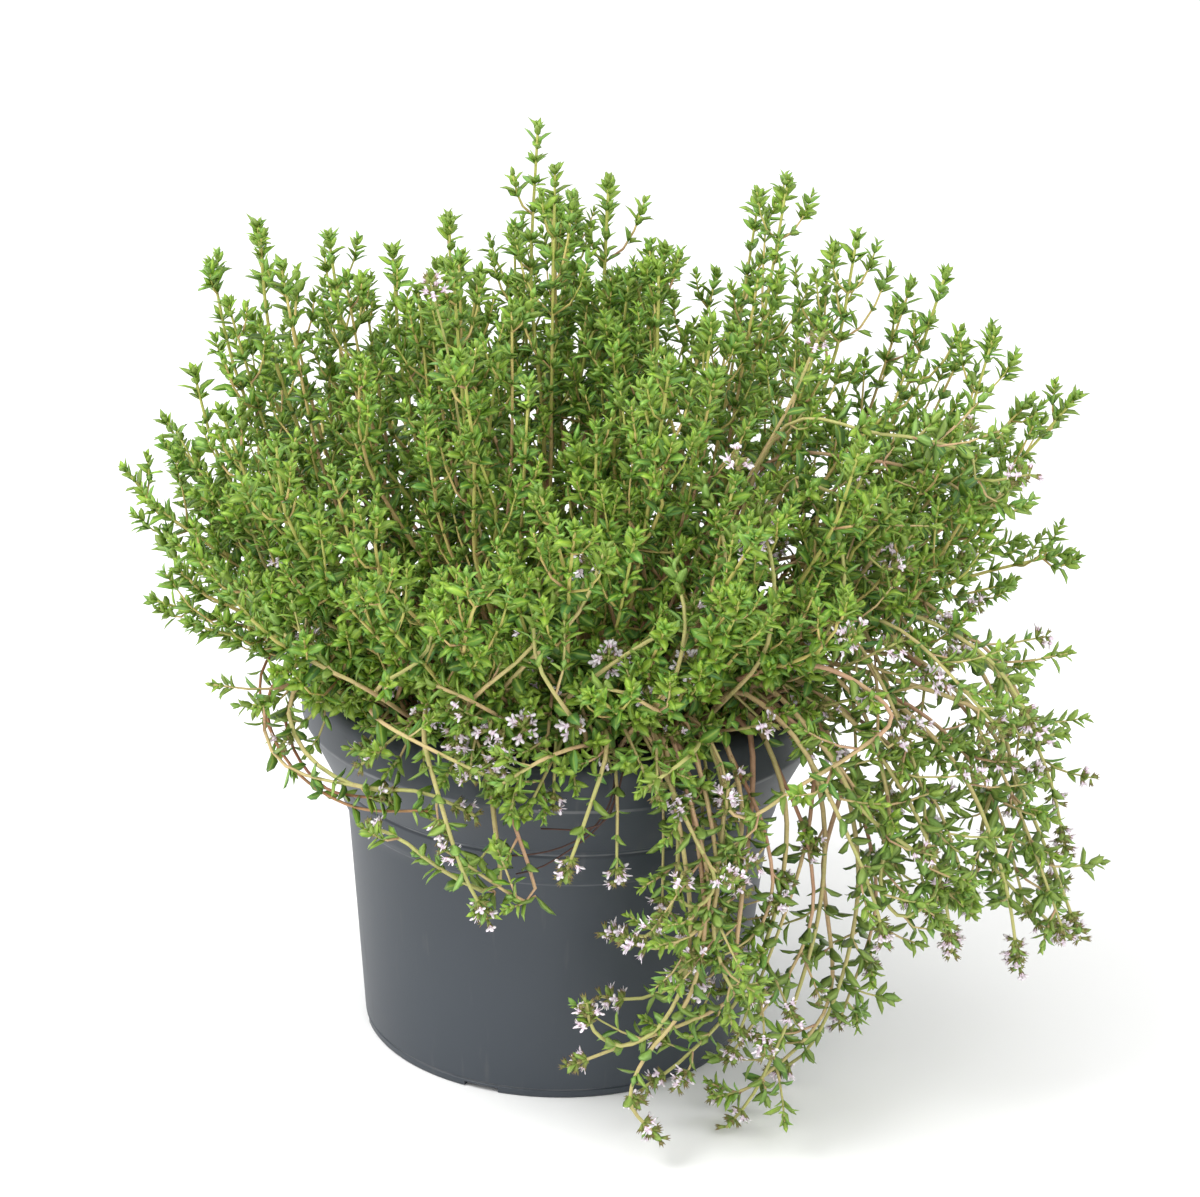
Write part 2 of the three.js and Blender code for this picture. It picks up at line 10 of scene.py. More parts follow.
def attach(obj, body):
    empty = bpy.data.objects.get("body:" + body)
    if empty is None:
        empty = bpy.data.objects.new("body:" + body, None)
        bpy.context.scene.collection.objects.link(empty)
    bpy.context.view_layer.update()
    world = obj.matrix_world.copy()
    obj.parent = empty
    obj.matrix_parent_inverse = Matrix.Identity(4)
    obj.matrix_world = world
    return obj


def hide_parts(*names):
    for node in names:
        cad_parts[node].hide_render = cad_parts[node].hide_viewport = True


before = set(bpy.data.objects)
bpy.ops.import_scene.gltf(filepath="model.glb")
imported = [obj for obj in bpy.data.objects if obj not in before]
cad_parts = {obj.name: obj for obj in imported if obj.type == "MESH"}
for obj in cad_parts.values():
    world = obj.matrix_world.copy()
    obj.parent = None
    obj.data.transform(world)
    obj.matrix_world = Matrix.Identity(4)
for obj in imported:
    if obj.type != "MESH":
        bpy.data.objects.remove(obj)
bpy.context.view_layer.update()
print("frame loaded")

toMetres = Matrix.Scale(0.001, 4)


def meshFrom(bm, name):
    mesh = bpy.data.meshes.new(name)
    bm.to_mesh(mesh)
    bm.free()
    return mesh


def addToScene(name, data):
    thing = bpy.data.objects.new(name, data)
    bpy.context.scene.collection.objects.link(thing)
    return thing


camera = {
    "focalPixels": 3227.0,  # for a picture 1200 pixels wide
    "distance": 1.2,
    "lift": 24.21,  # degrees above the horizon, seen from the point aimed at
    "aimHeight": 0.08,
    "yaw": 0.66,
    "pitch": 20.38,
    "roll": 1.86,
    "clip": (0.05, 30),
}


def setCamera():
    lift, yaw, pitch, roll = (math.radians(camera[k]) for k in ("lift", "yaw", "pitch", "roll"))
    place = Vector((0, -math.cos(lift), math.sin(lift))) * camera["distance"]
    place.z += camera["aimHeight"]
    level = Vector((math.cos(yaw), -math.sin(yaw), 0))
    ahead, over = (
        Vector((flat * math.sin(yaw), flat * math.cos(yaw), rise))
        for flat, rise in (
            (math.cos(pitch), -math.sin(pitch)),
            (math.sin(pitch), math.cos(pitch)),
        )
    )
    right = level * math.cos(roll) + over * math.sin(roll)
    top = over * math.cos(roll) - level * math.sin(roll)
    lens = bpy.data.cameras.new("camera")
    lens.sensor_width = 36
    lens.lens = camera["focalPixels"] * 36 / 1200
    lens.clip_start, lens.clip_end = camera["clip"]
    eye = addToScene("camera", lens)
    turned = Matrix((right, top, -ahead)).transposed().to_4x4()
    eye.matrix_world = Matrix.Translation(place) @ turned
    bpy.context.scene.camera = eye


setCamera()
print("camera set")

# How the plant grows, in millimetres
soilTop = 123.0
potHeight = 140.0
rootDepth = 8.0
straightFoot = 2.0

# Stems that make the outline, from left to right: foot, tip, lift, bend. A lift under 1 makes a
# stem rise first, a bend over 1 makes it lean out first and stand upright at its tip.
usualBend = 1.6
outlineStems = [
    ((-64, -14), (-145, -22, 168), 0.5, 1),
    ((-66, 2), (-157, -4, 210), 0.75, 1.2),
    ((-60, 14), (-146, 20, 222), 0.85, 1.3),
    ((-56, -8), (-131, -18, 252), 0.95, usualBend),
    ((-50, 6), (-127, 4, 285), 1, usualBend),
    ((-43, -8), (-109, -12, 303), 1, usualBend),
    ((-34, 4), (-86, 4, 296), 1, usualBend),
    ((-26, -7), (-63, -8, 294), 1, usualBend),
    ((-17, 5), (-44, 6, 302), 1, usualBend),
    ((-6, -4), (-14, 0, 337), 1, usualBend),
    ((6, 6), (11, 10, 317), 1, usualBend),
    ((14, -7), (31, -12, 299), 1, usualBend),
    ((26, 4), (73, 2, 321), 1, usualBend),
    ((37, -6), (97, -10, 305), 1, usualBend),
    ((45, 6), (130, 4, 289), 1, usualBend),
    ((52, -7), (146, -14, 272), 0.95, usualBend),
    ((59, 7), (179, 4, 245), 0.9, 1.2),
    ((60, 22), (160, 34, 222), 0.85, 1.3),
    ((64, 13), (184, 18, 182), 0.5, 1),
]

# Rows of the rest of the crown: y, the x of each tip, lift, bend
crownRows = [
    (-126, (-58, 2, 60), 0.8, 1.2),
    (-84, (-98, -32, 28, 92), 0.9, usualBend),
    (-42, (-40, 44), 1, usualBend),
    (44, (-92, -6, 92), 1, usualBend),
    (90, (-112, -48, 18, 84), 0.9, 1.3),
    (128, (-66, 4, 70), 0.8, 1.1),
]
crown = {
    "top": 305,
    "drop": 100,
    "halfWidth": 165,
    "halfDepth": 150,
    "shift": 6,
    "unevenness": 12,
    "reach": 0.46,  # of the way out to a tip stands its foot, inside footLimit
    "footLimit": 68,
}

# Stems that hang over the rim: foot, nodes in flower, side and end of the fork, route
trailingStems = [
    ((-52, -38), 2, (-1, 0.94),
     ((-78, -56, 160), (-94, -62, 148), (-88, -74, 134), (-70, -88, 128),
      (-46, -97, 130), (-28, -102, 124))),
    ((-22, -58), 1, (1, 0.94),
     ((-26, -82, 148), (-22, -101, 124), (-20, -107, 99), (-38, -108, 106),
      (-52, -106, 116), (-64, -101, 119))),
    ((-36, -54), 2, (1, 0.6),
     ((-44, -78, 156), (-46, -100, 152), (-40, -114, 136), (-32, -118, 112),
      (-23, -115, 92))),
    ((12, -64), 2, (1, 0.72),
     ((14, -88, 152), (15, -108, 150), (8, -117, 128), (2, -116, 108))),
    ((26, -60), 2, (1, 0.94),
     ((33, -84, 148), (40, -102, 124), (39, -108, 96), (31, -104, 82), (17, -98, 80))),
    ((38, -53), 2, (1, 0.94),
     ((52, -76, 148), (62, -92, 126), (58, -99, 92), (46, -100, 66), (30, -98, 55),
      (16, -95, 54))),
    ((45, -45), 2, (1, 0.94),
     ((61, -62, 151), (77, -82, 126), (76, -90, 88), (64, -94, 54), (46, -94, 30),
      (33, -93, 18))),
    ((53, -36), 2, (-1, 0.8),
     ((70, -52, 151), (89, -72, 127), (92, -80, 88), (84, -86, 48), (72, -90, 16),
      (62, -94, 3))),
    ((60, -28), 2, (1, 0.9),
     ((82, -44, 148), (98, -56, 126), (106, -64, 88), (102, -68, 50), (92, -62, 18),
      (80, -56, 4))),
    ((46, -54), 3, (1, 0.94),
     ((57, -75, 161), (78, -96, 154), (96, -102, 124), (108, -98, 96), (114, -88, 74))),
    ((54, -46), 3, (1, 0.94),
     ((70, -62, 162), (96, -80, 156), (120, -88, 126), (133, -86, 94), (139, -78, 66))),
    ((62, -40), 3, (1, 0.94),
     ((80, -50, 158), (108, -62, 158), (138, -70, 132), (156, -70, 92), (165, -64, 54))),
    ((64, -18), 3, (-1, 0.94),
     ((86, -26, 158), (116, -36, 164), (150, -42, 138), (174, -42, 92), (191, -36, 52))),
    ((69, -7), 3, (1, 0.94),
     ((88, -8, 154), (120, -12, 168), (154, -16, 150), (176, -18, 112), (187, -16, 76))),
    ((58, -14), 3, (-1, 0.94),
     ((78, -34, 172), (112, -58, 186), (144, -76, 176), (163, -84, 150))),
    ((28, 62), 2, (1, 0.94),
     ((36, 84, 152), (44, 106, 146), (48, 118, 118), (46, 120, 84))),
    ((-40, 56), 2, (-1, 0.94),
     ((-56, 78, 152), (-72, 98, 140), (-80, 108, 108), (-78, 110, 72))),
]

# Forks leave a stem at a share of its length and keep it company almost to its tip. Their
# bearing is measured from the way the stem leans.
standingForks = [
    {"leaves": 0.3, "ends": 0.95, "turn": 1.9},
    {"leaves": 0.42, "ends": 0.86, "turn": -1.9},
]
hangingFork = {"leaves": 0.4, "turn": 1.6}
forkApart = 21.0


def draw(seed, index, channel):  # from 0 to 1, the same for the same numbers
    wave = math.sin(seed * 12.9898 + index * 78.233 + channel * 37.719) * 43758.5453
    return wave - math.floor(wave)


def spread(seed, index, channel, size):
    return (draw(seed, index, channel) * 2 - 1) * size


def uprightRoute(foot, tip, lift, bend, seed, sway=2.5):
    x, y = foot
    route = [Vector((x, y, soilTop - rootDepth)), Vector((x, y, soilTop + straightFoot))]
    for i, share in enumerate((0.22, 0.48, 0.74, 1)):
        stray = sway if share < 1 else 0
        out = 1 - (1 - share) ** bend
        route.append(Vector((
            x + (tip[0] - x) * out + spread(seed, i, 1, stray),
            y + (tip[1] - y) * out + spread(seed, i, 2, stray),
            soilTop + (tip[2] - soilTop) * share ** lift,
        )))
    return route


def trailingRoute(foot, points):
    x, y = foot
    below = [Vector((x, y, soilTop - rootDepth)), Vector((x, y, soilTop + straightFoot))]
    return below + [Vector(p) for p in points]


class Axis:  # a smooth curve through a route, with a frame that doesn't twist
    def __init__(self, route, side, perSpan=6):
        guide = [route[0] * 2 - route[1], *route, route[-1] * 2 - route[-2]]
        self.points = []
        for span in range(len(route) - 1):
            a, b, c, d = guide[span:span + 4]
            for i in range(perSpan + (span == len(route) - 2)):
                t = i / perSpan
                self.points.append(
                    a * (((2 - t) * t - 1) * t / 2) + b * (((3 * t - 5) * t * t + 2) / 2)
                    + c * (((4 - 3 * t) * t + 1) * t / 2) + d * ((t - 1) * t * t / 2)
                )
        self.lengths = [0.0]
        for near, far in zip(self.points, self.points[1:]):
            self.lengths.append(self.lengths[-1] + (far - near).length)
        self.length = self.lengths[-1]
        self.frames = []
        across = Vector(side)
        last = len(self.points) - 1
        for i in range(len(self.points)):
            along = (self.points[min(i + 1, last)] - self.points[max(i - 1, 0)]).normalized()
            across = (across - along * across.dot(along)).normalized()
            self.frames.append((along, across))

    def place(self, length):
        s = min(max(length, 0), self.length)
        i = 1
        while i < len(self.points) - 1 and self.lengths[i] < s:
            i += 1
        t = (s - self.lengths[i - 1]) / (self.lengths[i] - self.lengths[i - 1])
        along = self.frames[i - 1][0].lerp(self.frames[i][0], t).normalized()
        across = self.frames[i - 1][1].lerp(self.frames[i][1], t)
        across = (across - along * across.dot(along)).normalized()
        point = self.points[i - 1].lerp(self.points[i], t)
        return Place(point, along, across)


class Place:
    def __init__(self, point, along, across):
        self.point, self.along, self.across = point, along, across
        self.aside = across.cross(along)

    def heading(self, turn, tilt):
        return (
            self.along * math.cos(tilt)
            + self.across * (math.sin(tilt) * math.cos(turn))
            + self.aside * (math.sin(tilt) * math.sin(turn))
        )


# Leaves and florets keep clear of the pot, the soil and the floor, and within the plant's reach.
plantReach = {"left": -172, "right": 207, "front": -154, "back": 146}
potInside = {"rim": 82, "wall": 78}
wallSteps = [  # from each height up, how far out the pot's wall stands
    (0, 72), (50, 76), (86, 79), (88, 83), (101, 86), (106, 90), (114, 95.4),
]


def clearOfPot(point, reach=0.8):
    out = math.hypot(point.x, point.y)
    inWidth = plantReach["left"] < point.x < plantReach["right"]
    inDepth = plantReach["front"] < point.y < plantReach["back"]
    if point.z < reach or not (inWidth and inDepth):
        return False
    if out < potInside["rim"]:
        top = potHeight if out > potInside["wall"] - reach else soilTop - 1
        return point.z > top + reach
    wall = next(radius for height, radius in reversed(wallSteps) if point.z >= height)
    return out > wall + reach or point.z > potHeight + reach


class Wire:  # an output socket that can be used in sums
    def __init__(self, recipe, socket):
        self.recipe, self.socket = recipe, socket

    def maths(self, operation, other, swapped=False):
        pair = (other, self) if swapped else (self, other)
        return self.recipe.node("Math", {"operation": operation}, dict(enumerate(pair)))

    def __add__(self, other):
        return self.maths("ADD", other)

    def __sub__(self, other):
        return self.maths("SUBTRACT", other)

    def __rsub__(self, other):
        return self.maths("SUBTRACT", other, True)

    def __mul__(self, other):
        return self.maths("MULTIPLY", other)

    __radd__ = __add__
    __rmul__ = __mul__

    def between(self, low, high):  # 0 at low, 1 at high, smooth in between
        settings = {"interpolation_type": "SMOOTHSTEP"}
        return self.recipe.node("MapRange", settings, {"Value": self, 1: low, 2: high})

    def away(self, middle):
        return (self - middle).maths("ABSOLUTE", 0.0)

    def beside(self, name):  # another output of the same node
        return Wire(self.recipe, self.socket.node.outputs[name])


class Recipe:  # a material in the making
    def __init__(self, name, constants):
        self.material = bpy.data.materials.new(name)
        self.material.use_nodes = True
        self.nodes = self.material.node_tree.nodes
        self.links = self.material.node_tree.links
        self.surface = self.nodes["Principled BSDF"]
        self.feed(constants)

    def node(self, kind, settings=None, values=None, output=0):
        made = self.nodes.new("ShaderNode" + kind)
        for key, value in (settings or {}).items():
            if key == "stops":
                ramp = made.color_ramp
                while len(ramp.elements) < len(value):
                    ramp.elements.new(0.5)
                for element, (spot, colour) in zip(ramp.elements, value):
                    element.position, element.color = spot, colour
            else:
                setattr(made, key, value)
        for key, value in (values or {}).items():
            self.give(made.inputs[key], value)
        return Wire(self, made.outputs[output])

    def give(self, socket, value):
        if isinstance(value, Wire):
            self.links.new(value.socket, socket)
        else:
            socket.default_value = value

    def feed(self, values):
        for socket, value in values.items():
            self.give(self.surface.inputs[socket], value)

    def where(self):  # object coordinates
        return self.node("TexCoord", None, None, 3)

    def chance(self):  # another number for each leaf, floret or stem
        return self.node("NewGeometry").beside("Random Per Island")

    def noise(self, where, scale, detail=2.0):
        values = {"Vector": where, "Scale": scale, "Detail": detail}
        return self.node("TexNoise", None, values)

    def mix(self, share, first, second):
        return self.node("Mix", {"data_type": "RGBA"}, {0: share, 6: first, 7: second}, 2)

    def bump(self, height, strength, distance):
        values = {"Height": height, "Strength": strength, "Distance": distance}
        self.feed({"Normal": self.node("Bump", None, values)})


def colour(red, green, blue):  # from 0 to 255 as a screen shows it
    def linear(v):
        v /= 255
        return v / 12.92 if v < 0.04045 else ((v + 0.055) / 1.055) ** 2.4
    return (linear(red), linear(green), linear(blue), 1.0)


# Every grown part carries the attribute growth: across, along, underside and age.
def leafMaterial(name, looks):
    recipe = Recipe(name, looks["finish"])
    growth = recipe.node("Attribute", {"attribute_name": "growth"})
    age = growth.beside("Alpha")
    parts = recipe.node("SeparateColor", None, {0: growth})
    along, under = parts.beside(1), parts.beside(2)
    where, chance = recipe.where(), recipe.chance()
    # Colour by age from the stem's tip: partly real, partly painted light that makes the top of
    # the crown lighter and painted shade that makes the leaves low down darker
    tone = recipe.node("ValToRGB", {"stops": looks["ages"]}, {0: age + (chance - 0.5) * 0.5})
    patches = recipe.noise(where, looks["patchScale"], 1.0)
    blotches = recipe.noise(where, looks["blotchScale"])
    tone = recipe.mix(patches.between(0.3, 0.7) * 0.35, tone, looks["patch"])
    tone = recipe.mix(blotches.between(0.35, 0.75) * 0.25, tone, looks["dark"])
    rib = 1 - parts.away(0.5).between(0.02, 0.16)
    tone = recipe.mix(rib * (1 - under) * 0.45, tone, looks["rib"])
    tone = recipe.mix((1 - along.between(0.0, 0.22)) * 0.4, tone, looks["rib"])
    tone = recipe.mix(under.between(0.45, 0.7) * 0.75, tone, looks["under"])
    tone = recipe.mix(chance.between(0.72, 0.8) * 0.4, tone, looks["blue"])
    low, more = looks["brightness"]
    values = {"Saturation": looks["saturation"], "Value": low + chance * more, "Color": tone}
    recipe.feed({"Base Color": recipe.node("HueSaturation", None, values)})
    recipe.bump(blotches - rib * 0.8, 0.35, 0.0003)
    return recipe.material


leafLooks = {
    "finish": {"Roughness": 0.5, "Coat Weight": 0.08, "Coat Roughness": 0.35},
    "ages": [  # from the tip of a stem to its foot: young leaves paler and old ones darker, spread wider as painted light on the top of the crown and painted shade low down
        (0.0, colour(138, 170, 66)),
        (0.35, colour(106, 146, 52)),
        (0.7, colour(76, 116, 42)),
        (1.0, colour(52, 86, 32)),
    ],
    "brightness": (0.84, 0.72),  # of the darkest leaf, and what the brightest has more
    "saturation": 1.06,
    "patchScale": 26.0,
    "blotchScale": 700.0,
    "blue": colour(82, 124, 70),
    "patch": colour(106, 140, 46),
    "dark": colour(42, 80, 28),
    "rib": colour(164, 180, 80),
    "under": colour(138, 160, 84),
}
trailingLooks = dict(
    leafLooks,
    ages=[
        (0.0, colour(142, 170, 70)),
        (0.4, colour(108, 146, 56)),
        (0.75, colour(76, 116, 44)),
        (1.0, colour(54, 88, 36)),
    ],
    patch=colour(112, 142, 56),
)


def barkMaterial(name, looks):
    recipe = Recipe(name, {"Roughness": 0.62})
    age = recipe.node("Attribute", {"attribute_name": "growth"}).beside("Alpha")
    where, chance = recipe.where(), recipe.chance()
    streaks = recipe.noise(where, 90.0)
    flecks = recipe.noise(where, 1100.0)
    share = age + (chance - 0.5) * 0.5 + (streaks - 0.5) * 0.9
    tone = recipe.node("ValToRGB", {"stops": looks["ages"]}, {0: share})
    tone = recipe.mix(flecks.between(0.45, 0.8) * 0.35, tone, looks["fleck"])
    recipe.feed({"Base Color": tone})
    recipe.bump(flecks, 0.5, 0.0002)
    return recipe.material


barkLooks = {  # from the foot to the tip
    "ages": [
        (0.0, colour(164, 120, 90)),
        (0.3, colour(200, 162, 122)),
        (0.6, colour(204, 184, 112)),
        (1.0, colour(178, 182, 92)),
    ],
    "fleck": colour(140, 92, 72),
}
trailingBarkLooks = {
    "ages": [
        (0.0, colour(160, 116, 88)),
        (0.3, colour(194, 156, 124)),
        (0.6, colour(198, 176, 124)),
        (1.0, colour(180, 180, 108)),
    ],
    "fleck": colour(140, 96, 78),
}
dryBarkLooks = {
    "ages": [(0.0, colour(52, 34, 30)), (1.0, colour(78, 50, 42))],
    "fleck": colour(34, 24, 22),
}
redBarkLooks = {
    "ages": [(0.0, colour(118, 64, 52)), (0.5, colour(150, 96, 70)), (1.0, colour(170, 128, 84))],
    "fleck": colour(96, 54, 44),
}


def flowerMaterial(name, looks):  # for petals and for calyces
    recipe = Recipe(name, looks["finish"])
    growth = recipe.node("Attribute", {"attribute_name": "growth"})
    along = recipe.node("SeparateColor", None, {0: growth}).beside(1)
    where, chance = recipe.where(), recipe.chance()
    veins = recipe.noise(where, looks["veinScale"], looks["veinDetail"])
    tone = recipe.mix(along.between(0.2, looks["tipFrom"]), looks["foot"], looks["tip"])
    masks = {"vein": veins, "chance": chance}
    for mask, low, high, strength, shade in looks["layers"]:
        tone = recipe.mix(masks[mask].between(low, high) * strength, tone, shade)
    recipe.feed({"Base Color": tone})
    recipe.bump(veins, *looks["bump"])
    return recipe.material


petalLooks = {
    "finish": {"Roughness": 0.55, "Coat Weight": 0.05},
    "foot": colour(226, 196, 220),
    "tip": colour(252, 244, 250),
    "tipFrom": 0.8,  # share of the length
    "layers": [  # mask, where it starts and ends, strength, colour
        ("vein", 0.55, 0.85, 0.3, colour(222, 200, 226)),
        ("chance", 0.5, 1.0, 0.25, colour(238, 216, 234)),
    ],
    "veinScale": 900.0,
    "veinDetail": 2.0,
    "bump": (0.3, 0.0002),
}
calyxLooks = {
    "finish": {"Roughness": 0.6},
    "foot": colour(136, 156, 70),
    "tip": colour(140, 110, 78),
    "tipFrom": 1.0,
    "layers": [
        ("chance", 0.4, 0.9, 0.6, colour(112, 124, 56)),
        ("vein", 0.45, 0.75, 0.4, colour(104, 86, 52)),
    ],
    "veinScale": 800.0,
    "veinDetail": 1.0,
    "bump": (0.4, 0.0003),
}

materials = {
    "leaf": leafMaterial("leaf", leafLooks),
    "trailingLeaf": leafMaterial("trailingLeaf", trailingLooks),
    "bark": barkMaterial("bark", barkLooks),
    "trailingBark": barkMaterial("trailingBark", trailingBarkLooks),
    "dryBark": barkMaterial("dryBark", dryBarkLooks),
    "redBark": barkMaterial("redBark", redBarkLooks),
    "petal": flowerMaterial("petal", petalLooks),
    "calyx": flowerMaterial("calyx", calyxLooks),
}
materialOrder = list(materials)
print("plant materials made")


def startPart():  # its layer holds across, along, underside and age
    bm = bmesh.new()
    return bm, bm.verts.layers.float_color.new("growth")


def asTemplate(bm, name, material):
    for face in bm.faces:
        face.smooth = True
        face.material_index = materialOrder.index(material)
    return Template(meshFrom(bm, name))


class Template:
    def __init__(self, mesh):
        self.mesh = mesh
        self.rest = [0.0] * (len(mesh.vertices) * 3)
        mesh.vertices.foreach_get("co", self.rest)

    def stamp(self, bm, matrix):
        self.mesh.vertices.foreach_set("co", self.rest)
        self.mesh.transform(matrix)
        bm.from_mesh(self.mesh)


# Blades: share of the length and of the half width at each ring
bladeForms = {
    "full": {"rings": [(0.1, 0.34), (0.4, 1.0), (0.75, 0.76)], "thickness": 0.05},
    "small": {"rings": [(0.26, 0.9), (0.68, 0.84)], "thickness": 0.06},
    "bud": {"rings": [(0.45, 1.0)], "thickness": 0.07},
}
bladeBends = [  # arch of the middle, droop of the tip, rise of the edges
    (0.04, 0.04, 0.06),
    (0.08, 0.14, 0.1),
    (0.03, -0.04, 0.14),
    (0.06, 0.2, 0.0),
]
ageSteps = 5


def makeBlade(name, material, form, bend, age):
    rings = [(0, 0), *form["rings"], (1, 0)]
    arch, droop, fold = bend
    bm, layer = startPart()
    bmesh.ops.create_uvsphere(bm, u_segments=4, v_segments=len(rings) - 1, radius=1)
    levels = sorted({round(v.co.z, 4) for v in bm.verts})
    for vert in bm.verts:
        t, wide = rings[levels.index(round(vert.co.z, 4))]
        across = 0 if abs(vert.co.x) < 0.01 else math.copysign(1, vert.co.x)
        over = 0 if abs(vert.co.y) < 0.01 else math.copysign(1, vert.co.y)
        height = arch * math.sin(math.pi * t) - droop * t * t + fold * wide * abs(across)
        height += over * form["thickness"] * wide
        vert.co = (across * wide, t, height)
        vert[layer] = (0.5 + across * 0.5, t, 0.5 - over * 0.5, age)
    bmesh.ops.recalc_face_normals(bm, faces=bm.faces)
    return asTemplate(bm, name, material)


blades = {
    (material, kind, bend, step): makeBlade(
        f"{material}{kind}{bend}{step}", material, form, bladeBends[bend], step / (ageSteps - 1))
    for material in ("leaf", "trailingLeaf")
    for kind, form in bladeForms.items()
    for bend in range(len(bladeBends))
    for step in range(ageSteps)
}


def makeLobe(bm, root, direction, length, halfWidth, thickness):
    made = bmesh.ops.create_uvsphere(bm, u_segments=4, v_segments=3, radius=0.5)["verts"]
    direction = Vector(direction).normalized()
    side = direction.cross(Vector((0, 0, 1)))
    side = (side if side.length > 0.1 else Vector((1, 0, 0))).normalized()
    over = side.cross(direction)
    middle = Vector(root) + direction * length * 0.45
    for vert in made:
        x, y, z = vert.co
        vert.co = middle + side * x * halfWidth * 2 + over * y * thickness + direction * z * length
    return made


def makeSpike(bm, root, direction, length, radius):
    made = bmesh.ops.create_cone(
        bm, cap_ends=True, segments=3, radius1=radius, radius2=0, depth=length)["verts"]
    bmesh.ops.translate(bm, verts=made, vec=(0, 0, length / 2))
    turn = Vector((0, 0, 1)).rotation_difference(Vector(direction)).to_matrix()
    bmesh.ops.rotate(bm, verts=made, matrix=turn)
    bmesh.ops.translate(bm, verts=made, vec=root)
    return made


def makeCup(bm, footRadius, topRadius, depth):  # stands on the origin, open towards +Y
    made = bmesh.ops.create_cone(bm, cap_ends=True, cap_tris=False, segments=5,
                                 radius1=footRadius, radius2=topRadius, depth=depth)["verts"]
    bmesh.ops.rotate(bm, verts=made, matrix=Matrix.Rotation(-math.pi / 2, 3, "X"))
    bmesh.ops.translate(bm, verts=made, vec=(0, depth / 2, 0))
    return made


def makeFloret():
    bm, layer = startPart()
    for vert in makeCup(bm, 0.45, 1.0, 3.0):
        vert[layer] = (0.5, vert.co.y / 6, 0, 0.5)
    lobes = [
        ((0, 2.7, 0.5), (0, 0.7, 0.75), 2.2, 0.95),
        ((0, 2.7, -0.5), (0, 0.8, -0.6), 2.9, 0.9),
        ((0.4, 2.7, -0.1), (0.85, 0.55, -0.2), 2.5, 0.75),
        ((-0.4, 2.7, -0.1), (-0.85, 0.55, -0.2), 2.5, 0.75),
    ]
    for root, direction, length, halfWidth in lobes:
        for vert in makeLobe(bm, root, direction, length, halfWidth, 0.34):
            share = min(1, (vert.co - Vector(root)).length / length)
            vert[layer] = (0.5, 0.45 + 0.55 * share, 0, 0.5)
    for side in (-1, 1):
        for vert in makeSpike(bm, (side * 0.35, 2.4, 0.35), (side * 0.3, 1, 0.12), 2.4, 0.16):
            vert[layer] = (0.5, 0.3, 0, 0.5)
    return asTemplate(bm, "floret", "petal")


def makeCalyx():
    bm, layer = startPart()
    makeCup(bm, 0.42, 0.85, 2.4)
    for turn in range(5):
        angle = turn * math.tau / 5
        root = Vector((math.cos(angle) * 0.55, 2.0, math.sin(angle) * 0.55))
        makeSpike(bm, root, (math.cos(angle) * 0.35, 1, math.sin(angle) * 0.35), 1.7, 0.36)
    for vert in bm.verts:
        vert[layer] = (0.5, min(1, vert.co.y / 3.6), 0, 0.5)
    return asTemplate(bm, "calyx", "calyx")


floret = makeFloret()
calyx = makeCalyx()
totals = []  # name, faces, triangles and counts of each grown piece


class Growth:  # a piece in the making
    def __init__(self, leafKind, barkKind):
        self.bm = bmesh.new()
        self.leafKind, self.barkKind = leafKind, barkKind
        self.counts = {"leaf": 0, "tube": 0, "floret": 0}

    def tube(self, axis, lengths, radii, sides, ages):
        bm, layer = startPart()
        rings = len(lengths) - 1
        bmesh.ops.create_cone(
            bm, cap_ends=True, cap_tris=False, segments=sides, radius1=1, radius2=1, depth=1)
        rods = [e for e in bm.edges if abs(e.verts[0].co.z - e.verts[1].co.z) > 0.5]
        if rings > 1:
            bmesh.ops.subdivide_edges(bm, edges=rods, cuts=rings - 1, use_grid_fill=True)
        places = [axis.place(length) for length in lengths]
        for vert in bm.verts:
            k = round((vert.co.z + 0.5) * rings)
            place = places[k]
            x, y = vert.co.x * radii[k], vert.co.y * radii[k]
            vert.co = place.point + place.across * x - place.aside * y
            vert[layer] = (0.5, k / rings, 0, ages[k])
        for face in bm.faces:
            face.smooth = len(face.verts) == 4
            face.material_index = materialOrder.index(self.barkKind)
        mesh = meshFrom(bm, "tube")
        self.bm.from_mesh(mesh)
        bpy.data.meshes.remove(mesh)
        self.counts["tube"] += 1

    def stamp(self, template, root, axes):
        matrix = Matrix(axes).transposed().to_4x4()
        matrix.translation = root
        template.stamp(self.bm, matrix)

    def blade(self, root, direction, towards, length, halfWidth, seed, index, age, kind="full"):
        tip = root + direction * length
        if not (clearOfPot(tip) and clearOfPot(root.lerp(tip, 0.5))):
            return
        flat = towards.cross(direction).normalized()
        above = direction.cross(flat)
        roll = spread(seed, index, 21, 0.5)
        flat, above = (
            flat * math.cos(roll) + above * math.sin(roll),
            above * math.cos(roll) - flat * math.sin(roll),
        )
        bend = int(draw(seed, index, 22) * len(bladeBends))
        step = round(min(max(age + spread(seed, index, 23, 0.12), 0), 1) * (ageSteps - 1))
        template = blades[self.leafKind, kind, bend, step]
        self.stamp(template, root, (flat * halfWidth, direction * length, above * length))
        self.counts["leaf"] += 1

    def part(self, template, root, direction, towards, size):
        tip = root + direction * 5 * size
        if not (clearOfPot(tip) and clearOfPot(root)):
            return
        flat = towards.cross(direction).normalized()
        above = direction.cross(flat)
        self.stamp(template, root, (flat * size, direction * size, above * size))
        self.counts["floret"] += 1

    def finish(self, name, slot, replaced=()):
        mesh = meshFrom(self.bm, name)
        mesh.transform(toMetres)
        used = sorted({face.material_index for face in mesh.polygons})
        for index in used:
            mesh.materials.append(materials[materialOrder[index]])
        for face in mesh.polygons:
            face.material_index = used.index(face.material_index)
        piece = addToScene(name, mesh)
        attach(piece, "root")
        if replaced:
            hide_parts(*replaced)
        triangles = sum(len(face.vertices) - 2 for face in mesh.polygons)
        totals.append((name, len(mesh.polygons), triangles, self.counts))


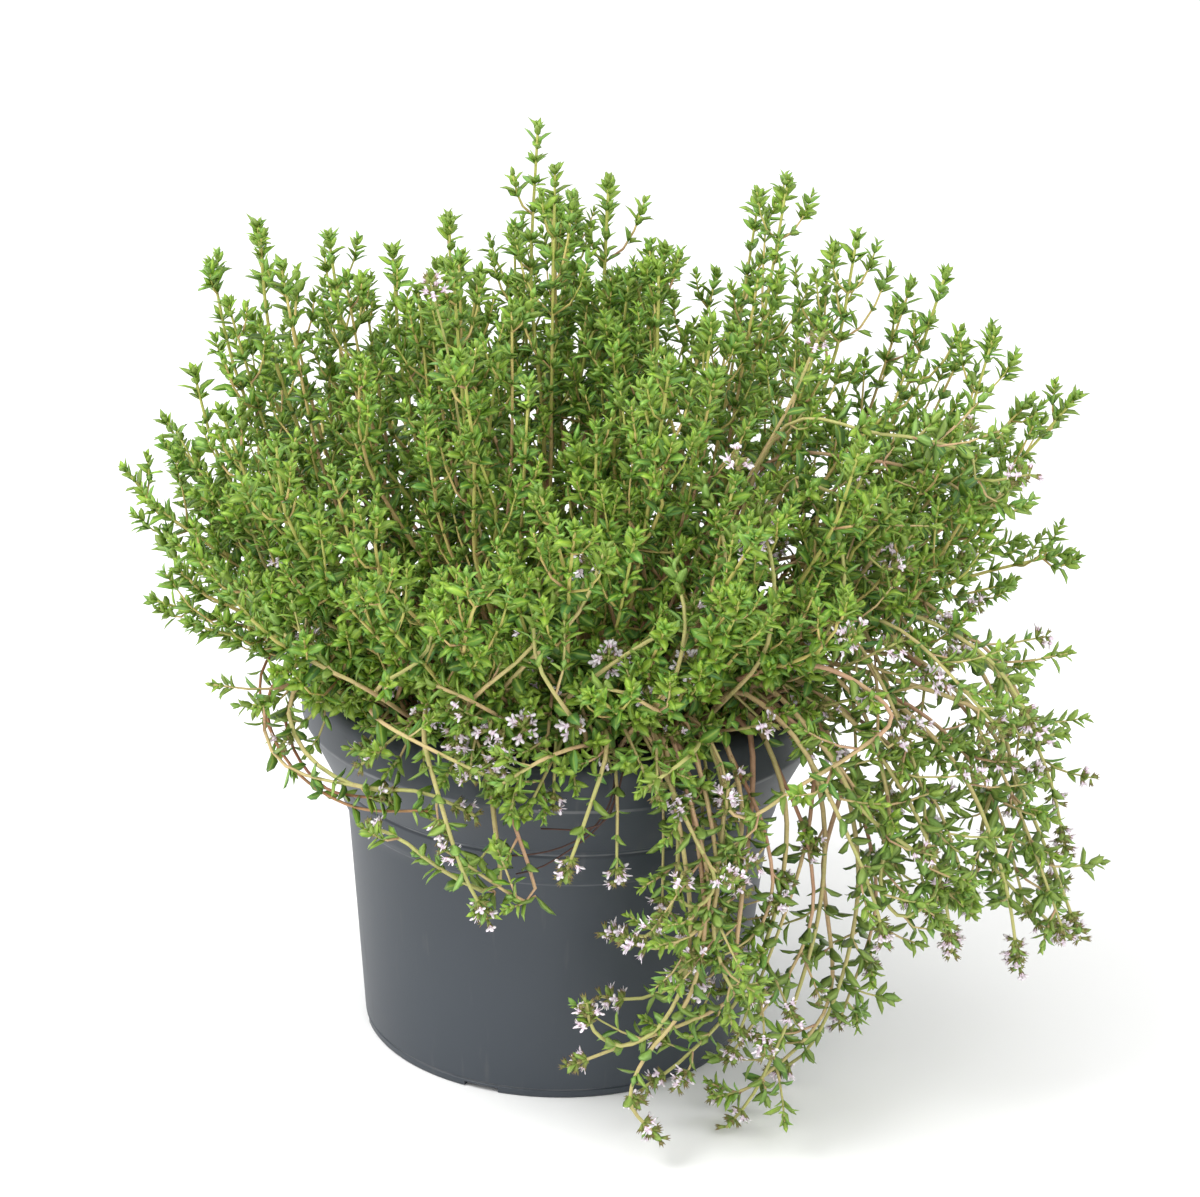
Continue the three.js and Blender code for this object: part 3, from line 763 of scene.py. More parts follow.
leafing = {
    "internode": 9.5,
    "bare": 34.0,
    "length": 9.0,
    "halfWidth": 1.548,
    "opening": (34, 10, 68),  # degrees at the tip, more at each node, most
    "growing": (0.62, 0.1),  # size at the tip, and more at each node
}
rosette = {"pairs": 4, "step": 2.3, "length": 7.0, "wide": 0.23, "tilt": 0.4}
tuft = {"length": 5.2, "halfWidth": 1.25}


def leafNodes(axis, seed, bare, internode):
    nodes = []
    i = 0
    while True:
        length = axis.length - 2 - i * internode + spread(seed, i, 3, 1.5)
        if length < bare:
            return nodes
        turn = (i + 0.5) * math.pi / 2 + spread(seed, i, 4, 0.1)
        nodes.append((i, length, axis.place(length), turn))
        i += 1


def addPair(growth, node, seed, scale=1.0, wide=1.0, kind="full"):
    i, _, place, turn = node
    size, larger = leafing["growing"]
    grown = min(1, size + larger * i)
    opening, wider, most = leafing["opening"]
    tilt = math.radians(min(most, opening + wider * i) + spread(seed, i, 9, 12))
    age = min(1, 0.12 + 0.16 * i)
    for side in (0, 1):
        direction = place.heading(turn + side * math.pi + spread(seed, i, 12 + side, 0.3), tilt)
        length = leafing["length"] * grown * (0.78 + 0.4 * draw(seed, i, 10 + side)) * scale
        halfWidth = leafing["halfWidth"] * grown * scale * wide
        growth.blade(place.point, direction, place.along, length, halfWidth, seed,
                     i * 2 + side, age, kind)


def addTuft(growth, node, seed, size, age):  # small leaves in the two axils
    i, _, place, turn = node
    for side in (0, 1):
        for k in range(3):
            if draw(seed, i * 6 + side * 3 + k, 31) > size:
                continue
            around = turn + side * math.pi + (k - 1) * 0.9 + spread(seed, i + k, 32, 0.3)
            tilt = 0.42 + 0.4 * draw(seed, i * 3 + k, 33 + side)
            direction = place.heading(around, tilt)
            length = tuft["length"] * (0.7 + 0.6 * draw(seed, i * 3 + k, 35 + side))
            root = place.point + direction * 0.8
            growth.blade(root, direction, place.along, length, tuft["halfWidth"], seed,
                         900 + i * 6 + side * 3 + k, age, "bud")


def addRosette(growth, axis, seed, scale=1.0):  # young leaves at the tip
    for i in range(rosette["pairs"]):
        place = axis.place(axis.length - 0.6 - i * rosette["step"] * scale)
        turn = i * math.pi / 2 + spread(seed, i, 41, 0.25)
        tilt = rosette["tilt"] + 0.2 * i
        for side in (0, 1):
            stray = spread(seed, i * 2 + side, 42, 0.12)
            direction = place.heading(turn + side * math.pi, tilt + stray)
            length = rosette["length"] * scale * (0.62 + 0.16 * i)
            length *= 0.9 + 0.2 * draw(seed, i, 43 + side)
            growth.blade(place.point, direction, place.along, length, length * rosette["wide"],
                         seed, 700 + i * 2 + side, 0.04 * i, "small")


def addWhorl(growth, place, turn, seed, whorl, count, openShare, size):
    for k in range(count):
        index = whorl * 9 + k
        around = turn + k * math.tau / count + spread(seed, index, 51, 0.3)
        direction = place.heading(around, 1.0 + spread(seed, index, 52, 0.3))
        root = place.point + direction * 0.5
        growth.part(calyx, root, direction, place.along,
                    size * (0.9 + 0.3 * draw(seed, index, 53)))
        if draw(seed, index, 54) < openShare:
            growth.part(floret, root + direction * 0.9 * size, direction, place.along,
                        size * (0.8 + 0.25 * draw(seed, index, 55)))


flowerHead = {"step": 4.2, "florets": 5, "topFlorets": 3, "leafLength": 6.0, "leafHalfWidth": 1.6}


def addHead(growth, axis, seed, whorls, openShare, size=1.0):  # a flowering tip
    for w in range(whorls):
        length = axis.length - 0.5 - w * flowerHead["step"] * size
        if length < 2:
            return
        place = axis.place(length)
        turn = w * math.pi / 2
        count = flowerHead["florets"] if w else flowerHead["topFlorets"]
        addWhorl(growth, place, turn, seed, w, count, openShare if w else openShare * 0.5, size)
        if w:
            for side in (0, 1):
                direction = place.heading(turn + side * math.pi, 0.9)
                growth.blade(place.point, direction, place.along, flowerHead["leafLength"] * size,
                             flowerHead["leafHalfWidth"] * size, seed, 600 + w * 2 + side, 0.3)


def addShoot(growth, node, side, seed, size, options):
    _, _, place, turn = node
    out = place.heading(turn + side * math.pi, 0.85)
    rise = (out + Vector((0, 0, options["rise"])) + place.along * 0.5).normalized()
    elbow = place.point + out * size * 0.4
    end = elbow + rise * size * 0.6
    if not (clearOfPot(elbow) and clearOfPot(end)):
        return
    axis = Axis([place.point, elbow, end], place.aside, 3)
    lengths = [axis.length * share for share in (0, 0.3, 0.6, 1)]
    radii = [options["radius"] * share for share in (1, 0.9, 0.8, 0.6)]
    growth.tube(axis, lengths, radii, 4, [0.4, 0.6, 0.8, 1.0])
    for leaf in leafNodes(axis, seed, 3, options["step"])[1:]:
        addPair(growth, leaf, seed, options["leafScale"], kind="full" if size > 24 else "small")
        addTuft(growth, leaf, seed, options["tufts"] * 0.5, 0.2)
    if draw(seed, 1, 61) < options["shootBlooms"]:
        addHead(growth, axis, seed, 2 + int(draw(seed, 2, 61) * 2), options["open"], 0.85)
    else:
        addRosette(growth, axis, seed, 0.75 + 0.3 * draw(seed, 3, 61))


def growStem(growth, axis, seed, options):
    buried = options["buried"]
    rings = max(6, round(axis.length / options["ringStep"]))
    lengths = [0] + [buried + (axis.length - buried) * k / rings for k in range(rings + 1)]
    foot, tip = options["radii"]
    shares = [length / axis.length for length in lengths]
    radii = [foot + (tip - foot) * share for share in shares]
    growth.tube(axis, lengths, radii, 5, shares)
    for node in leafNodes(axis, seed, options["bare"], leafing["internode"]):
        i, length = node[:2]
        if i < options["blooms"]:
            continue
        depth = max(0, i - options["leafy"]) * options["thinning"]  # foliage thins out downwards
        if draw(seed, i, 64) > depth:
            addPair(growth, node, seed, options["leafScale"], options["wide"])
        addTuft(growth, node, seed, options["tufts"] - depth, 0.3)
        for side in (0, 1):
            if i < 1 or draw(seed, i * 2 + side, 62) > options["shoots"] - depth * 0.3:
                continue
            shortest, more = options["shootLength"]
            size = shortest + more * draw(seed, i * 2 + side, 63)
            size = min(size, 8 + 6 * i, length * 0.5)  # the shoots near the tip stay short
            addShoot(growth, node, side, seed * 50 + i + side * 7, size, options)
    if options["blooms"]:
        addHead(growth, axis, seed, 1 + options["blooms"], options["open"], 0.95)
    else:
        addRosette(growth, axis, seed)


# Rings of the solid that a fork can leave: its marks are the nodes that carry leaves there.
def forkFoot(axis, seed, leaves, blooms, every, span):
    nodes = [node for node in leafNodes(axis, seed, leafing["bare"], leafing["internode"])
             if node[0] % every == 0 or node[0] < blooms]
    lengths = [0, rootDepth + straightFoot]
    for mark in reversed([node[1] + half for node in nodes for half in (0.8, -0.8)]):
        gap = mark - lengths[-1]
        parts = math.ceil(gap / span)
        lengths += [mark - gap * (parts - k) / parts for k in range(1, parts + 1)]
    return max(length for length in lengths if length <= axis.length * leaves)


def growFork(growth, axis, seed, number, fork, foot, tip, options):
    bearing = math.atan2(tip[1], tip[0]) + fork["turn"]
    aside = Vector((math.cos(bearing), math.sin(bearing), 0))
    route = []
    for t in (0, 0.25, 0.55, 1):
        length = foot + (axis.length * fork["ends"] - foot) * t
        route.append(axis.place(length).point + aside * (forkApart * math.sin(t * math.pi / 2)))
    growStem(growth, Axis(route, aside, 4), seed * 50 + number, options)


uprightOptions = {
    "buried": rootDepth + straightFoot,
    "radii": (1.15, 0.5),  # at the foot and at the tip
    "radius": 0.5,  # of a shoot
    "ringStep": 14,
    "bare": leafing["bare"],
    "blooms": 0,  # nodes in flower
    "shootBlooms": 0,  # share of the shoots that end in flowers
    "open": 0.4,
    "leafScale": 0.9,
    "wide": 1.42,
    "leafy": 4,  # nodes with all their leaves
    "thinning": 0.085,  # share of the leaves lost at each node below them
    "tufts": 0.72,
    "shoots": 0.44,
    "shootLength": (12, 34),  # the shortest, and what the longest has more
    "rise": 1.1,
    "step": 7.5,
}
trailingOptions = dict(
    uprightOptions,
    radii=(1.15, 0.6),
    ringStep=8,
    bare=26,
    leafScale=1.0,
    wide=1.4,
    thinning=0.075,
    tufts=0.2,
    shoots=0.25,
    shootBlooms=0.24,
    shootLength=(10, 24),
    rise=0.8,
    open=0.45,
)
uprightForkOptions = dict(uprightOptions, buried=0, radii=(0.75, 0.45), bare=12, shoots=0.3)
trailingForkOptions = dict(
    trailingOptions, buried=0, radii=(0.8, 0.5), bare=12, shoots=0.35, blooms=1)


def sideOf(seed):
    angle = draw(seed, 0, 8) * math.tau
    return (math.cos(angle), math.sin(angle), 0)


def growCrown():
    stems = [(*stem, "upright") for stem in outlineStems]
    for r, (y, xs, lift, bend) in enumerate(crownRows):
        for i, x in enumerate(xs):
            out = (x / crown["halfWidth"]) ** 2 + (y / crown["halfDepth"]) ** 2
            height = crown["top"] - crown["drop"] * out + spread(r, i, 7, crown["unevenness"])
            reach = min(crown["reach"], crown["footLimit"] / math.hypot(x, y))
            stray = [spread(r, i, channel, crown["shift"]) for channel in (5, 6)]
            tip = (x + stray[0], y + stray[1], height)
            stems.append(((x * reach, y * reach), tip, lift, bend, "crown"))
    for k, (foot, tip, lift, bend, kind) in enumerate(stems):
        seed = k + 1
        axis = Axis(uprightRoute(foot, tip, lift, bend, seed), sideOf(seed))
        growth = Growth("leaf", "bark")
        growStem(growth, axis, seed, uprightOptions)
        for number, fork in enumerate(standingForks):
            start = forkFoot(axis, seed, fork["leaves"], 0, 6, 44)
            growFork(growth, axis, seed, number, fork, start, tip, uprightForkOptions)
        growth.finish(f"{kind}Stem{seed:02d}", "leafy_stem", [f"{kind}_stem_{seed:02d}"])
    return len(stems)


def growTrailing(first):
    for k, (foot, blooms, (side, end), points) in enumerate(trailingStems):
        seed = first + k + 1
        axis = Axis(trailingRoute(foot, points), sideOf(seed))
        growth = Growth("trailingLeaf", "trailingBark")
        growStem(growth, axis, seed, dict(trailingOptions, blooms=blooms))
        fork = dict(hangingFork, ends=end, turn=hangingFork["turn"] * side)
        start = forkFoot(axis, seed, fork["leaves"], blooms, 4, 22)
        growFork(growth, axis, seed, 0, fork, start, points[-1], trailingForkOptions)
        growth.finish(f"trailingStem{seed:02d}", "flowering_stem", [f"trailing_stem_{seed:02d}"])


upright = growCrown()
print("crown grown")
growTrailing(upright)
print("trailing stems grown")

goldenAngle = 2.39996  # radians, spreads stems evenly over a disc
crownFilling = {  # thinner stems between the main ones
    "stems": 58,
    "pieces": 2,
    "sway": 11.0,
    "scatter": 13.0,
    "halfWidth": 158,
    "halfDepth": 138,
    "below": (2, 42),
    "reach": 0.42,
    "footLimit": 60,
    "lift": 0.85,
}


def growCrownFilling():
    growths = [Growth("leaf", "bark") for _ in range(crownFilling["pieces"])]
    for k in range(crownFilling["stems"]):
        seed = 101 + k
        turn = k * goldenAngle
        out = math.sqrt((k + 0.5) / crownFilling["stems"])
        x = out * crownFilling["halfWidth"] * math.cos(turn)
        y = out * crownFilling["halfDepth"] * math.sin(turn)
        drop = crown["drop"] * ((x / crown["halfWidth"]) ** 2 + (y / crown["halfDepth"]) ** 2)
        low, more = crownFilling["below"]
        height = crown["top"] - drop - low - more * draw(seed, 0, 71)
        reach = min(crownFilling["reach"], crownFilling["footLimit"] / max(1, math.hypot(x, y)))
        stray = [spread(seed, 0, channel, crownFilling["scatter"]) for channel in (84, 85)]
        tip = (x + stray[0], y + stray[1], height)
        route = uprightRoute((x * reach, y * reach), tip, crownFilling["lift"],
                             usualBend - 0.3 * out, seed, crownFilling["sway"])
        axis = Axis(route, sideOf(seed))
        growStem(growths[k % crownFilling["pieces"]], axis, seed, uprightOptions)
    for k, growth in enumerate(growths):
        growth.finish(f"crownFilling{k + 1}", "leafy_stem")


# Stems that lean far out at the sides: foot, tip, lift
leaningBend = 1.3
leaningStems = [
    ((-50, -30), (-118, -62, 196), 0.6),
    ((-56, -20), (-134, -40, 186), 0.6),
    ((-46, -40), (-104, -78, 182), 0.6),
    ((-60, -4), (-142, -10, 190), 0.6),
    ((-52, -34), (-96, -92, 170), 0.55),
    ((-58, 8), (-138, 14, 186), 0.6),
    ((-44, -26), (-112, -44, 216), 0.75),
    ((-40, -46), (-84, -84, 196), 0.7),
    ((50, -30), (118, -60, 216), 0.7),
    ((56, -16), (140, -34, 214), 0.7),
    ((44, -42), (98, -82, 196), 0.65),
    ((60, 0), (150, 0, 214), 0.7),
    ((58, 14), (150, 26, 204), 0.65),
    ((40, -48), (76, -92, 190), 0.7),
]


def growLeaning():
    growth = Growth("leaf", "bark")
    for k, (foot, tip, lift) in enumerate(leaningStems):
        seed = 301 + k
        route = uprightRoute(foot, tip, lift, leaningBend, seed, crownFilling["sway"])
        growStem(growth, Axis(route, sideOf(seed)), seed, dict(uprightOptions, radii=(1.0, 0.5)))
    growth.finish("leaningFilling", "leafy_stem")


lowShoots = {  # young shoots that cover the soil
    "stems": 60,
    "halfWidth": 68,
    "height": (24, 44),
    "lean": (1.0, 0.25),
    "scatter": 9,
    "options": dict(uprightOptions, radii=(0.7, 0.4), bare=14, shoots=0.35, shootLength=(9, 12),
                    leafScale=0.95, tufts=0.6),
}


def growLow():
    growth = Growth("leaf", "bark")
    (shortest, taller), (least, more) = lowShoots["height"], lowShoots["lean"]
    for k in range(lowShoots["stems"]):
        seed = 401 + k
        turn = k * goldenAngle
        out = math.sqrt((k + 0.5) / lowShoots["stems"]) * lowShoots["halfWidth"]
        foot = (out * math.cos(turn), out * math.sin(turn))
        height = shortest + taller * draw(seed, 0, 74)
        lean = least + more * draw(seed, 0, 75)
        stray = [spread(seed, 0, channel, lowShoots["scatter"]) for channel in (76, 77)]
        tip = (foot[0] * lean + stray[0], foot[1] * lean + stray[1], soilTop + height)
        axis = Axis(uprightRoute(foot, tip, 0.8, 1, seed), sideOf(seed))
        growStem(growth, axis, seed, lowShoots["options"])
    growth.finish("lowShoots", "leafy_stem")


# Bare stems that cross in front of the lower leaves: foot, then points
wanderingStems = [
    ((-46, -34), ((-60, -58, 150), (-58, -84, 168), (-44, -96, 184), (-40, -94, 200))),
    ((-30, -52), ((-34, -78, 152), (-26, -96, 172), (-10, -100, 190), (-2, -92, 208))),
    ((-10, -58), ((-16, -84, 154), (-30, -98, 170), (-44, -98, 176))),
    ((4, -60), ((8, -86, 152), (2, -102, 168), (-8, -104, 186), (-10, -96, 202))),
    ((18, -58), ((22, -86, 154), (34, -98, 176), (38, -96, 198), (34, -86, 214))),
    ((30, -52), ((38, -78, 156), (30, -98, 168), (16, -104, 178), (8, -102, 174))),
    ((40, -44), ((52, -70, 158), (64, -86, 184), (66, -84, 210), (60, -76, 230))),
    ((-54, -22), ((-74, -44, 152), (-84, -58, 172), (-82, -60, 194), (-76, -56, 212))),
    ((-40, -44), ((-54, -72, 154), (-66, -80, 166), (-84, -76, 174), (-96, -68, 186))),
    ((50, -30), ((68, -52, 160), (86, -66, 184), (90, -66, 206), (84, -60, 224))),
    ((-20, -50), ((-22, -76, 158), (-12, -92, 180), (4, -96, 200), (12, -90, 220))),
    ((24, -48), ((32, -72, 166), (48, -86, 192), (50, -84, 220), (42, -76, 240))),
    ((-2, -54), ((0, -80, 160), (12, -96, 180), (26, -98, 192), (38, -92, 196))),
    ((56, -16), ((76, -32, 168), (96, -46, 194), (108, -50, 218))),
    ((-58, -8), ((-78, -18, 158), (-98, -28, 180), (-106, -34, 204))),
    ((34, -56), ((44, -84, 150), (40, -104, 154), (26, -112, 146))),
    ((-48, -40), ((-62, -66, 150), (-56, -90, 156), (-38, -102, 152), (-22, -106, 146))),
    ((10, -62), ((10, -88, 150), (-4, -106, 154), (-18, -110, 146))),
]

# Stems that hang at the front right and curl back at their ends
curlyStems = [
    ((14, -58),
     ((30, -86, 150), (36, -104, 140), (46, -112, 122), (53, -114, 108), (47, -116, 99),
      (40, -117, 104), (42, -118, 113))),
    ((14, -58),
     ((32, -86, 150), (38, -105, 136), (45, -112, 98), (44, -112, 70), (36, -113, 52),
      (24, -114, 45), (14, -115, 51), (11, -116, 62))),
    ((18, -57),
     ((34, -84, 151), (42, -103, 138), (51, -112, 106), (49, -114, 90), (45, -115, 78),
      (39, -116, 71))),
    ((22, -55),
     ((38, -82, 151), (48, -101, 138), (54, -111, 102), (45, -114, 87), (34, -115, 83),
      (23, -116, 86))),
    ((26, -53),
     ((42, -80, 152), (55, -99, 138), (53, -112, 94), (56, -114, 78), (61, -115, 68),
      (70, -114, 65))),
    ((34, -46),
     ((52, -72, 160), (84, -92, 178), (110, -98, 164), (98, -104, 152), (80, -110, 142),
      (64, -112, 131), (56, -113, 134), (56, -113, 142))),
    ((40, -40),
     ((62, -58, 164), (96, -74, 164), (112, -86, 128), (111, -90, 98), (118, -94, 87),
      (128, -92, 92), (132, -88, 100))),
    ((20, -56),
     ((36, -84, 151), (44, -103, 132), (50, -113, 96), (48, -114, 72), (42, -114, 56),
      (33, -114, 43), (28, -115, 32), (28, -116, 22), (38, -117, 11))),
]

# Thin reddish stems that loop round the rim at the left, and dry dark ones below them
loopingStems = [
    ((-60, -20),
     ((-82, -36, 152), (-99, -46, 150), (-103, -50, 136), (-92, -62, 121), (-70, -84, 118),
      (-44, -99, 124))),
    ((-56, -30),
     ((-80, -46, 154), (-95, -55, 144), (-93, -62, 130), (-80, -76, 121), (-60, -90, 124))),
    ((-62, -10),
     ((-86, -22, 156), (-104, -34, 152), (-106, -42, 138), (-98, -56, 126))),
]
dryStems = [
    ((20, -60),
     ((22, -88, 147), (20, -102, 136), (14, -102, 122), (4, -101, 112), (-6, -101, 105),
      (-14, -100, 102))),
    ((16, -60),
     ((19, -88, 147), (17, -102, 130), (8, -101, 117), (-4, -101, 111), (-18, -101, 109))),
    ((12, -60), ((18, -88, 147), (18, -102, 128), (10, -103, 121), (-6, -102, 120))),
]

# Flowering shoots: where each head stands, and its whorls
flowerHeads = [
    ((15, -104, 184), 3), ((8, -98, 215), 2), ((55, -92, 250), 2), ((63, -94, 223), 3),
    ((42, -100, 181), 2), ((29, -104, 170), 2), ((80, -80, 288), 2), ((-47, -70, 300), 2),
    ((-24, -108, 158), 2), ((-13, -110, 161), 2), ((4, -110, 162), 2), ((-20, -110, 145), 3),
    ((-35, -106, 148), 3), ((-30, -108, 140), 2), ((57, -104, 130), 2), ((57, -104, 104), 2),
    ((50, -100, 60), 2),
    ((97, -96, 192), 3), ((111, -90, 186), 2), ((128, -86, 172), 2), ((104, -92, 168), 2),
    ((-2, -106, 130), 2), ((70, -100, 160), 2), ((20, -108, 104), 2), ((36, -104, 92), 2),
]


wandering = {
    "outwards": (1.04, 1.13),
    "options": dict(trailingOptions, radii=(1.05, 0.6), leafy=2, thinning=0.22, shoots=0.2),
}
curlyOptions = dict(trailingOptions, radii=(1.05, 0.65), ringStep=4, leafy=3, thinning=0.12)
headStems = {"step": 8, "radii": (0.75, 0.5), "overRim": 154, "open": 0.85}
thinPieces = [  # name, bark, routes, step between rings, radii at the foot and the tip
    ("loopingStems", "redBark", loopingStems, 5, (0.75, 0.5)),
    ("dryStems", "dryBark", dryStems, 5, (0.45, 0.3)),
]


def addBareStem(growth, axis, step, radii, sides):
    rings = round(axis.length / step)
    shares = [i / rings for i in range(rings + 1)]
    foot, tip = radii
    growth.tube(axis, [axis.length * share for share in shares],
                [foot + (tip - foot) * share for share in shares], sides, shares)


def headRoute(spot, seed):  # upright, or over the rim where the head hangs
    x, y, z = spot
    if z > 150:
        return uprightRoute((x * 0.45, y * 0.5), spot, 0.6, 1.2, seed, 2.0)
    over = [(x * 0.75, y * 0.78, headStems["overRim"]), (x * 0.95, y * 0.95, max(z + 14, 138))]
    return trailingRoute((x * 0.5, y * 0.5), [*over, spot])


def growBareStems():
    growth = Growth("trailingLeaf", "trailingBark")
    right, forward = wandering["outwards"]
    for k, (foot, points) in enumerate(wanderingStems):
        seed = 601 + k
        route = [(x * right, y * forward, z) for x, y, z in points]
        axis = Axis(trailingRoute(foot, route), sideOf(seed))
        growStem(growth, axis, seed, wandering["options"])
    for k, (foot, points) in enumerate(curlyStems):
        seed = 751 + k
        axis = Axis(trailingRoute(foot, points), sideOf(seed))
        growStem(growth, axis, seed, dict(curlyOptions, blooms=1 + k % 2))
    for k, (spot, whorls) in enumerate(flowerHeads):
        seed = 641 + k
        axis = Axis(headRoute(spot, seed), sideOf(seed))
        addBareStem(growth, axis, headStems["step"], headStems["radii"], 4)
        for node in leafNodes(axis, seed, 40, 7.5)[1:6]:
            addPair(growth, node, seed, 0.85, 1.4)
        addHead(growth, axis, seed, whorls, headStems["open"])
    growth.finish("bareStems", "flowering_stem")
    for name, bark, stems, step, radii in thinPieces:
        growth = Growth("trailingLeaf", bark)
        for k, (foot, points) in enumerate(stems):
            seed = 681 + k
            axis = Axis(trailingRoute(foot, points), sideOf(seed))
            addBareStem(growth, axis, step, radii, 5)
            if bark == "redBark":
                for node in leafNodes(axis, seed, 60, 15)[:4]:
                    addPair(growth, node, seed, 0.9, 1.4)
                addRosette(growth, axis, seed, 0.9)
        growth.finish(name, "flowering_stem")


apron = {  # short stems that lean over the front of the rim
    "stems": 26,
    "halfWidth": 74,
    "reach": (70, 4),
    "footReach": 62,
    "out": (1.2, 0.26),
    "drop": 34,
    "inFlower": 0.35,
    "options": dict(trailingOptions, radii=(0.9, 0.5), bare=22, shoots=0.6, leafScale=0.86,
                    shootBlooms=0.12),
}


def growApron():
    growth = Growth("trailingLeaf", "trailingBark")
    for k in range(apron["stems"]):
        seed = 501 + k
        share = (k + 0.5) / apron["stems"]
        x = apron["halfWidth"] * (2 * share - 1) + spread(seed, 0, 78, 6)
        chance = [draw(seed, i, 80) for i in range(8)]
        reach = apron["reach"][0] + apron["reach"][1] * draw(seed, 0, 79)
        footX = x * apron["footReach"] / 100
        footY = -math.sqrt(max(0, apron["footReach"] ** 2 - footX ** 2))
        foot = (footX, footY * (0.55 + 0.45 * chance[0]))
        ringY = -math.sqrt(max(0, reach ** 2 - x * x * 0.7))
        out = apron["out"][0] + apron["out"][1] * chance[1]
        drop = apron["drop"] * chance[2]
        points = [
            (x * 0.92, ringY * 0.98, 150 + 8 * chance[3]),
            (x * 1.08, ringY * 1.2, 158 + 10 * chance[4] - drop * 0.4),
            (x * out + spread(seed, 5, 80, 14), ringY * (out + 0.14), 156 - drop + 10 * chance[6]),
        ]
        axis = Axis(trailingRoute(foot, points), sideOf(seed))
        blooms = 1 if chance[7] < apron["inFlower"] else 0
        growStem(growth, axis, seed, dict(apron["options"], blooms=blooms))
    growth.finish("apronFilling", "flowering_stem")


# Curly stems of the loose mass at the right: how many, and where their tips lie
rightMass = {
    "stems": 13,
    "x": (104, 170),
    "y": (-84, -14),
    "z": (84, 236),
    "rimX": 62,
    "overRim": 172,
    "swing": 15.0,
    "inFlower": 0.6,
    "options": dict(trailingOptions, radii=(0.95, 0.5), bare=44, shoots=0.4, open=0.6),
}


def growRightMass():
    growth = Growth("trailingLeaf", "trailingBark")
    (left, right), (near, far), (low, high) = rightMass["x"], rightMass["y"], rightMass["z"]
    rimX, swing = rightMass["rimX"], rightMass["swing"]
    for k in range(rightMass["stems"]):
        seed = 721 + k
        z = low + (high - low) * (k + 0.5) / rightMass["stems"]
        x = left + (right - left) * draw(seed, 0, 86) - max(0, z - 190) * 0.3
        y = near + (far - near) * ((k * 0.618) % 1)
        over = max(rightMass["overRim"], z + 4) + 16 * draw(seed, 1, 86)
        points = [
            (rimX + 10 * draw(seed, 2, 86), y * 0.62, over - 6),
            (rimX + (x - rimX) * 0.5, y * 0.8 + spread(seed, 3, 86, swing), over + 6),
            (rimX + (x - rimX) * 0.86, y + spread(seed, 4, 86, swing),
             (over + z) / 2 + spread(seed, 5, 86, 6)),
            (x - 6 + spread(seed, 6, 86, 6), y + spread(seed, 7, 86, swing), z),
            (x + 8, y + spread(seed, 8, 86, 9), z + 7 * draw(seed, 9, 86)),
        ]
        axis = Axis(trailingRoute((46, y * 0.4), points), sideOf(seed))
        blooms = 2 + k % 2 if draw(seed, 10, 86) < rightMass["inFlower"] else 0
        growStem(growth, axis, seed, dict(rightMass["options"], blooms=blooms))
    growth.finish("rightMass", "flowering_stem")


trailingFilling = {  # stems between two of the trailing ones, by their places in the list
    "between": [(9, 10), (11, 12), (12, 13), (7, 8), (5, 6)],
    "pieces": 2,
    "stray": 4,  # at the rim, and as much more at each further point
    "rightmost": 184,
    "lowest": 7,
}


def growTrailingFilling():
    pieces = trailingFilling["pieces"]
    growths = [Growth("trailingLeaf", "trailingBark") for _ in range(pieces)]
    for k, (one, two) in enumerate(trailingFilling["between"]):
        seed = 201 + k
        share = 0.3 + 0.4 * draw(seed, 0, 72)
        (footA, _, _, routeA), (footB, _, _, routeB) = trailingStems[one], trailingStems[two]
        foot = [a + (b - a) * share for a, b in zip(footA, footB)]
        points = []
        for i, (near, far) in enumerate(zip(routeA, routeB)):
            stray = trailingFilling["stray"] * (1 + i)
            x, y, z = (
                near[j] + (far[j] - near[j]) * share + spread(seed, i, 73 + j, stray)
                for j in range(3)
            )
            points.append((min(x, trailingFilling["rightmost"]), y,
                           max(z, trailingFilling["lowest"])))
        axis = Axis(trailingRoute(foot, points), sideOf(seed))
        growStem(growths[k % pieces], axis, seed, dict(trailingOptions, blooms=1 + k % 3))
    for k, growth in enumerate(growths):
        growth.finish(f"trailingFilling{k + 1}", "flowering_stem")


growCrownFilling()
growLeaning()
growLow()
growApron()
growBareStems()
growRightMass()
growTrailingFilling()
print("fillings grown")

potLooks = {
    "finish": {"Coat Weight": 0.06, "Coat Roughness": 0.3},
    "grey": colour(48, 55, 63),
    "worn": colour(64, 71, 79),
    "dust": colour(104, 104, 100),
    # bright grey of the edge lines: partly wear, partly a painted highlight on the edges
    "edge": colour(128, 130, 132),
    "wornHighlitLedges": [  # height, width and strength of each edge line, lighter for wear and as a painted highlight
        (0.1229, 0.0009, 0.6),
        (0.1006, 0.0006, 0.5),
        (0.088, 0.0005, 0.35),
        (0.0032, 0.0005, 0.3),
    ],
}


def potMaterial():
    recipe = Recipe("mouldedPlastic", potLooks["finish"])
    where = recipe.where()
    fine = recipe.noise(where, 1400.0)
    broad = recipe.noise(where, 9.0, 3.0)
    stretch = recipe.node("Mapping", None, {"Vector": where, "Scale": (60, 60, 6)})
    scuffs = recipe.noise(stretch, 4.0, 4.0)
    worn = scuffs.between(0.6, 0.82)
    height = recipe.node("SeparateXYZ", None, {0: where}).beside(2)
    patchy = recipe.noise(where, 55.0, 3.0).between(0.3, 0.62)
    tone = recipe.mix(broad.between(0.3, 0.75) * 0.3, potLooks["grey"], potLooks["worn"])
    tone = recipe.mix(worn * 0.25, tone, potLooks["dust"])
    # thin lighter lines along the edges: partly wear, partly a painted highlight where the edges
    # catch the light
    for highlitLedge, width, strength in potLooks["wornHighlitLedges"]:
        wearAndHighlightLine = 1 - height.away(highlitLedge).between(width * 0.4, width)
        tone = recipe.mix(wearAndHighlightLine * patchy * strength, tone, potLooks["edge"])
    recipe.feed({"Base Color": tone, "Roughness": 0.44 + broad * 0.12 + worn * 0.12})
    recipe.bump(fine + scuffs * 0.6, 0.12, 0.0003)
    return recipe.material


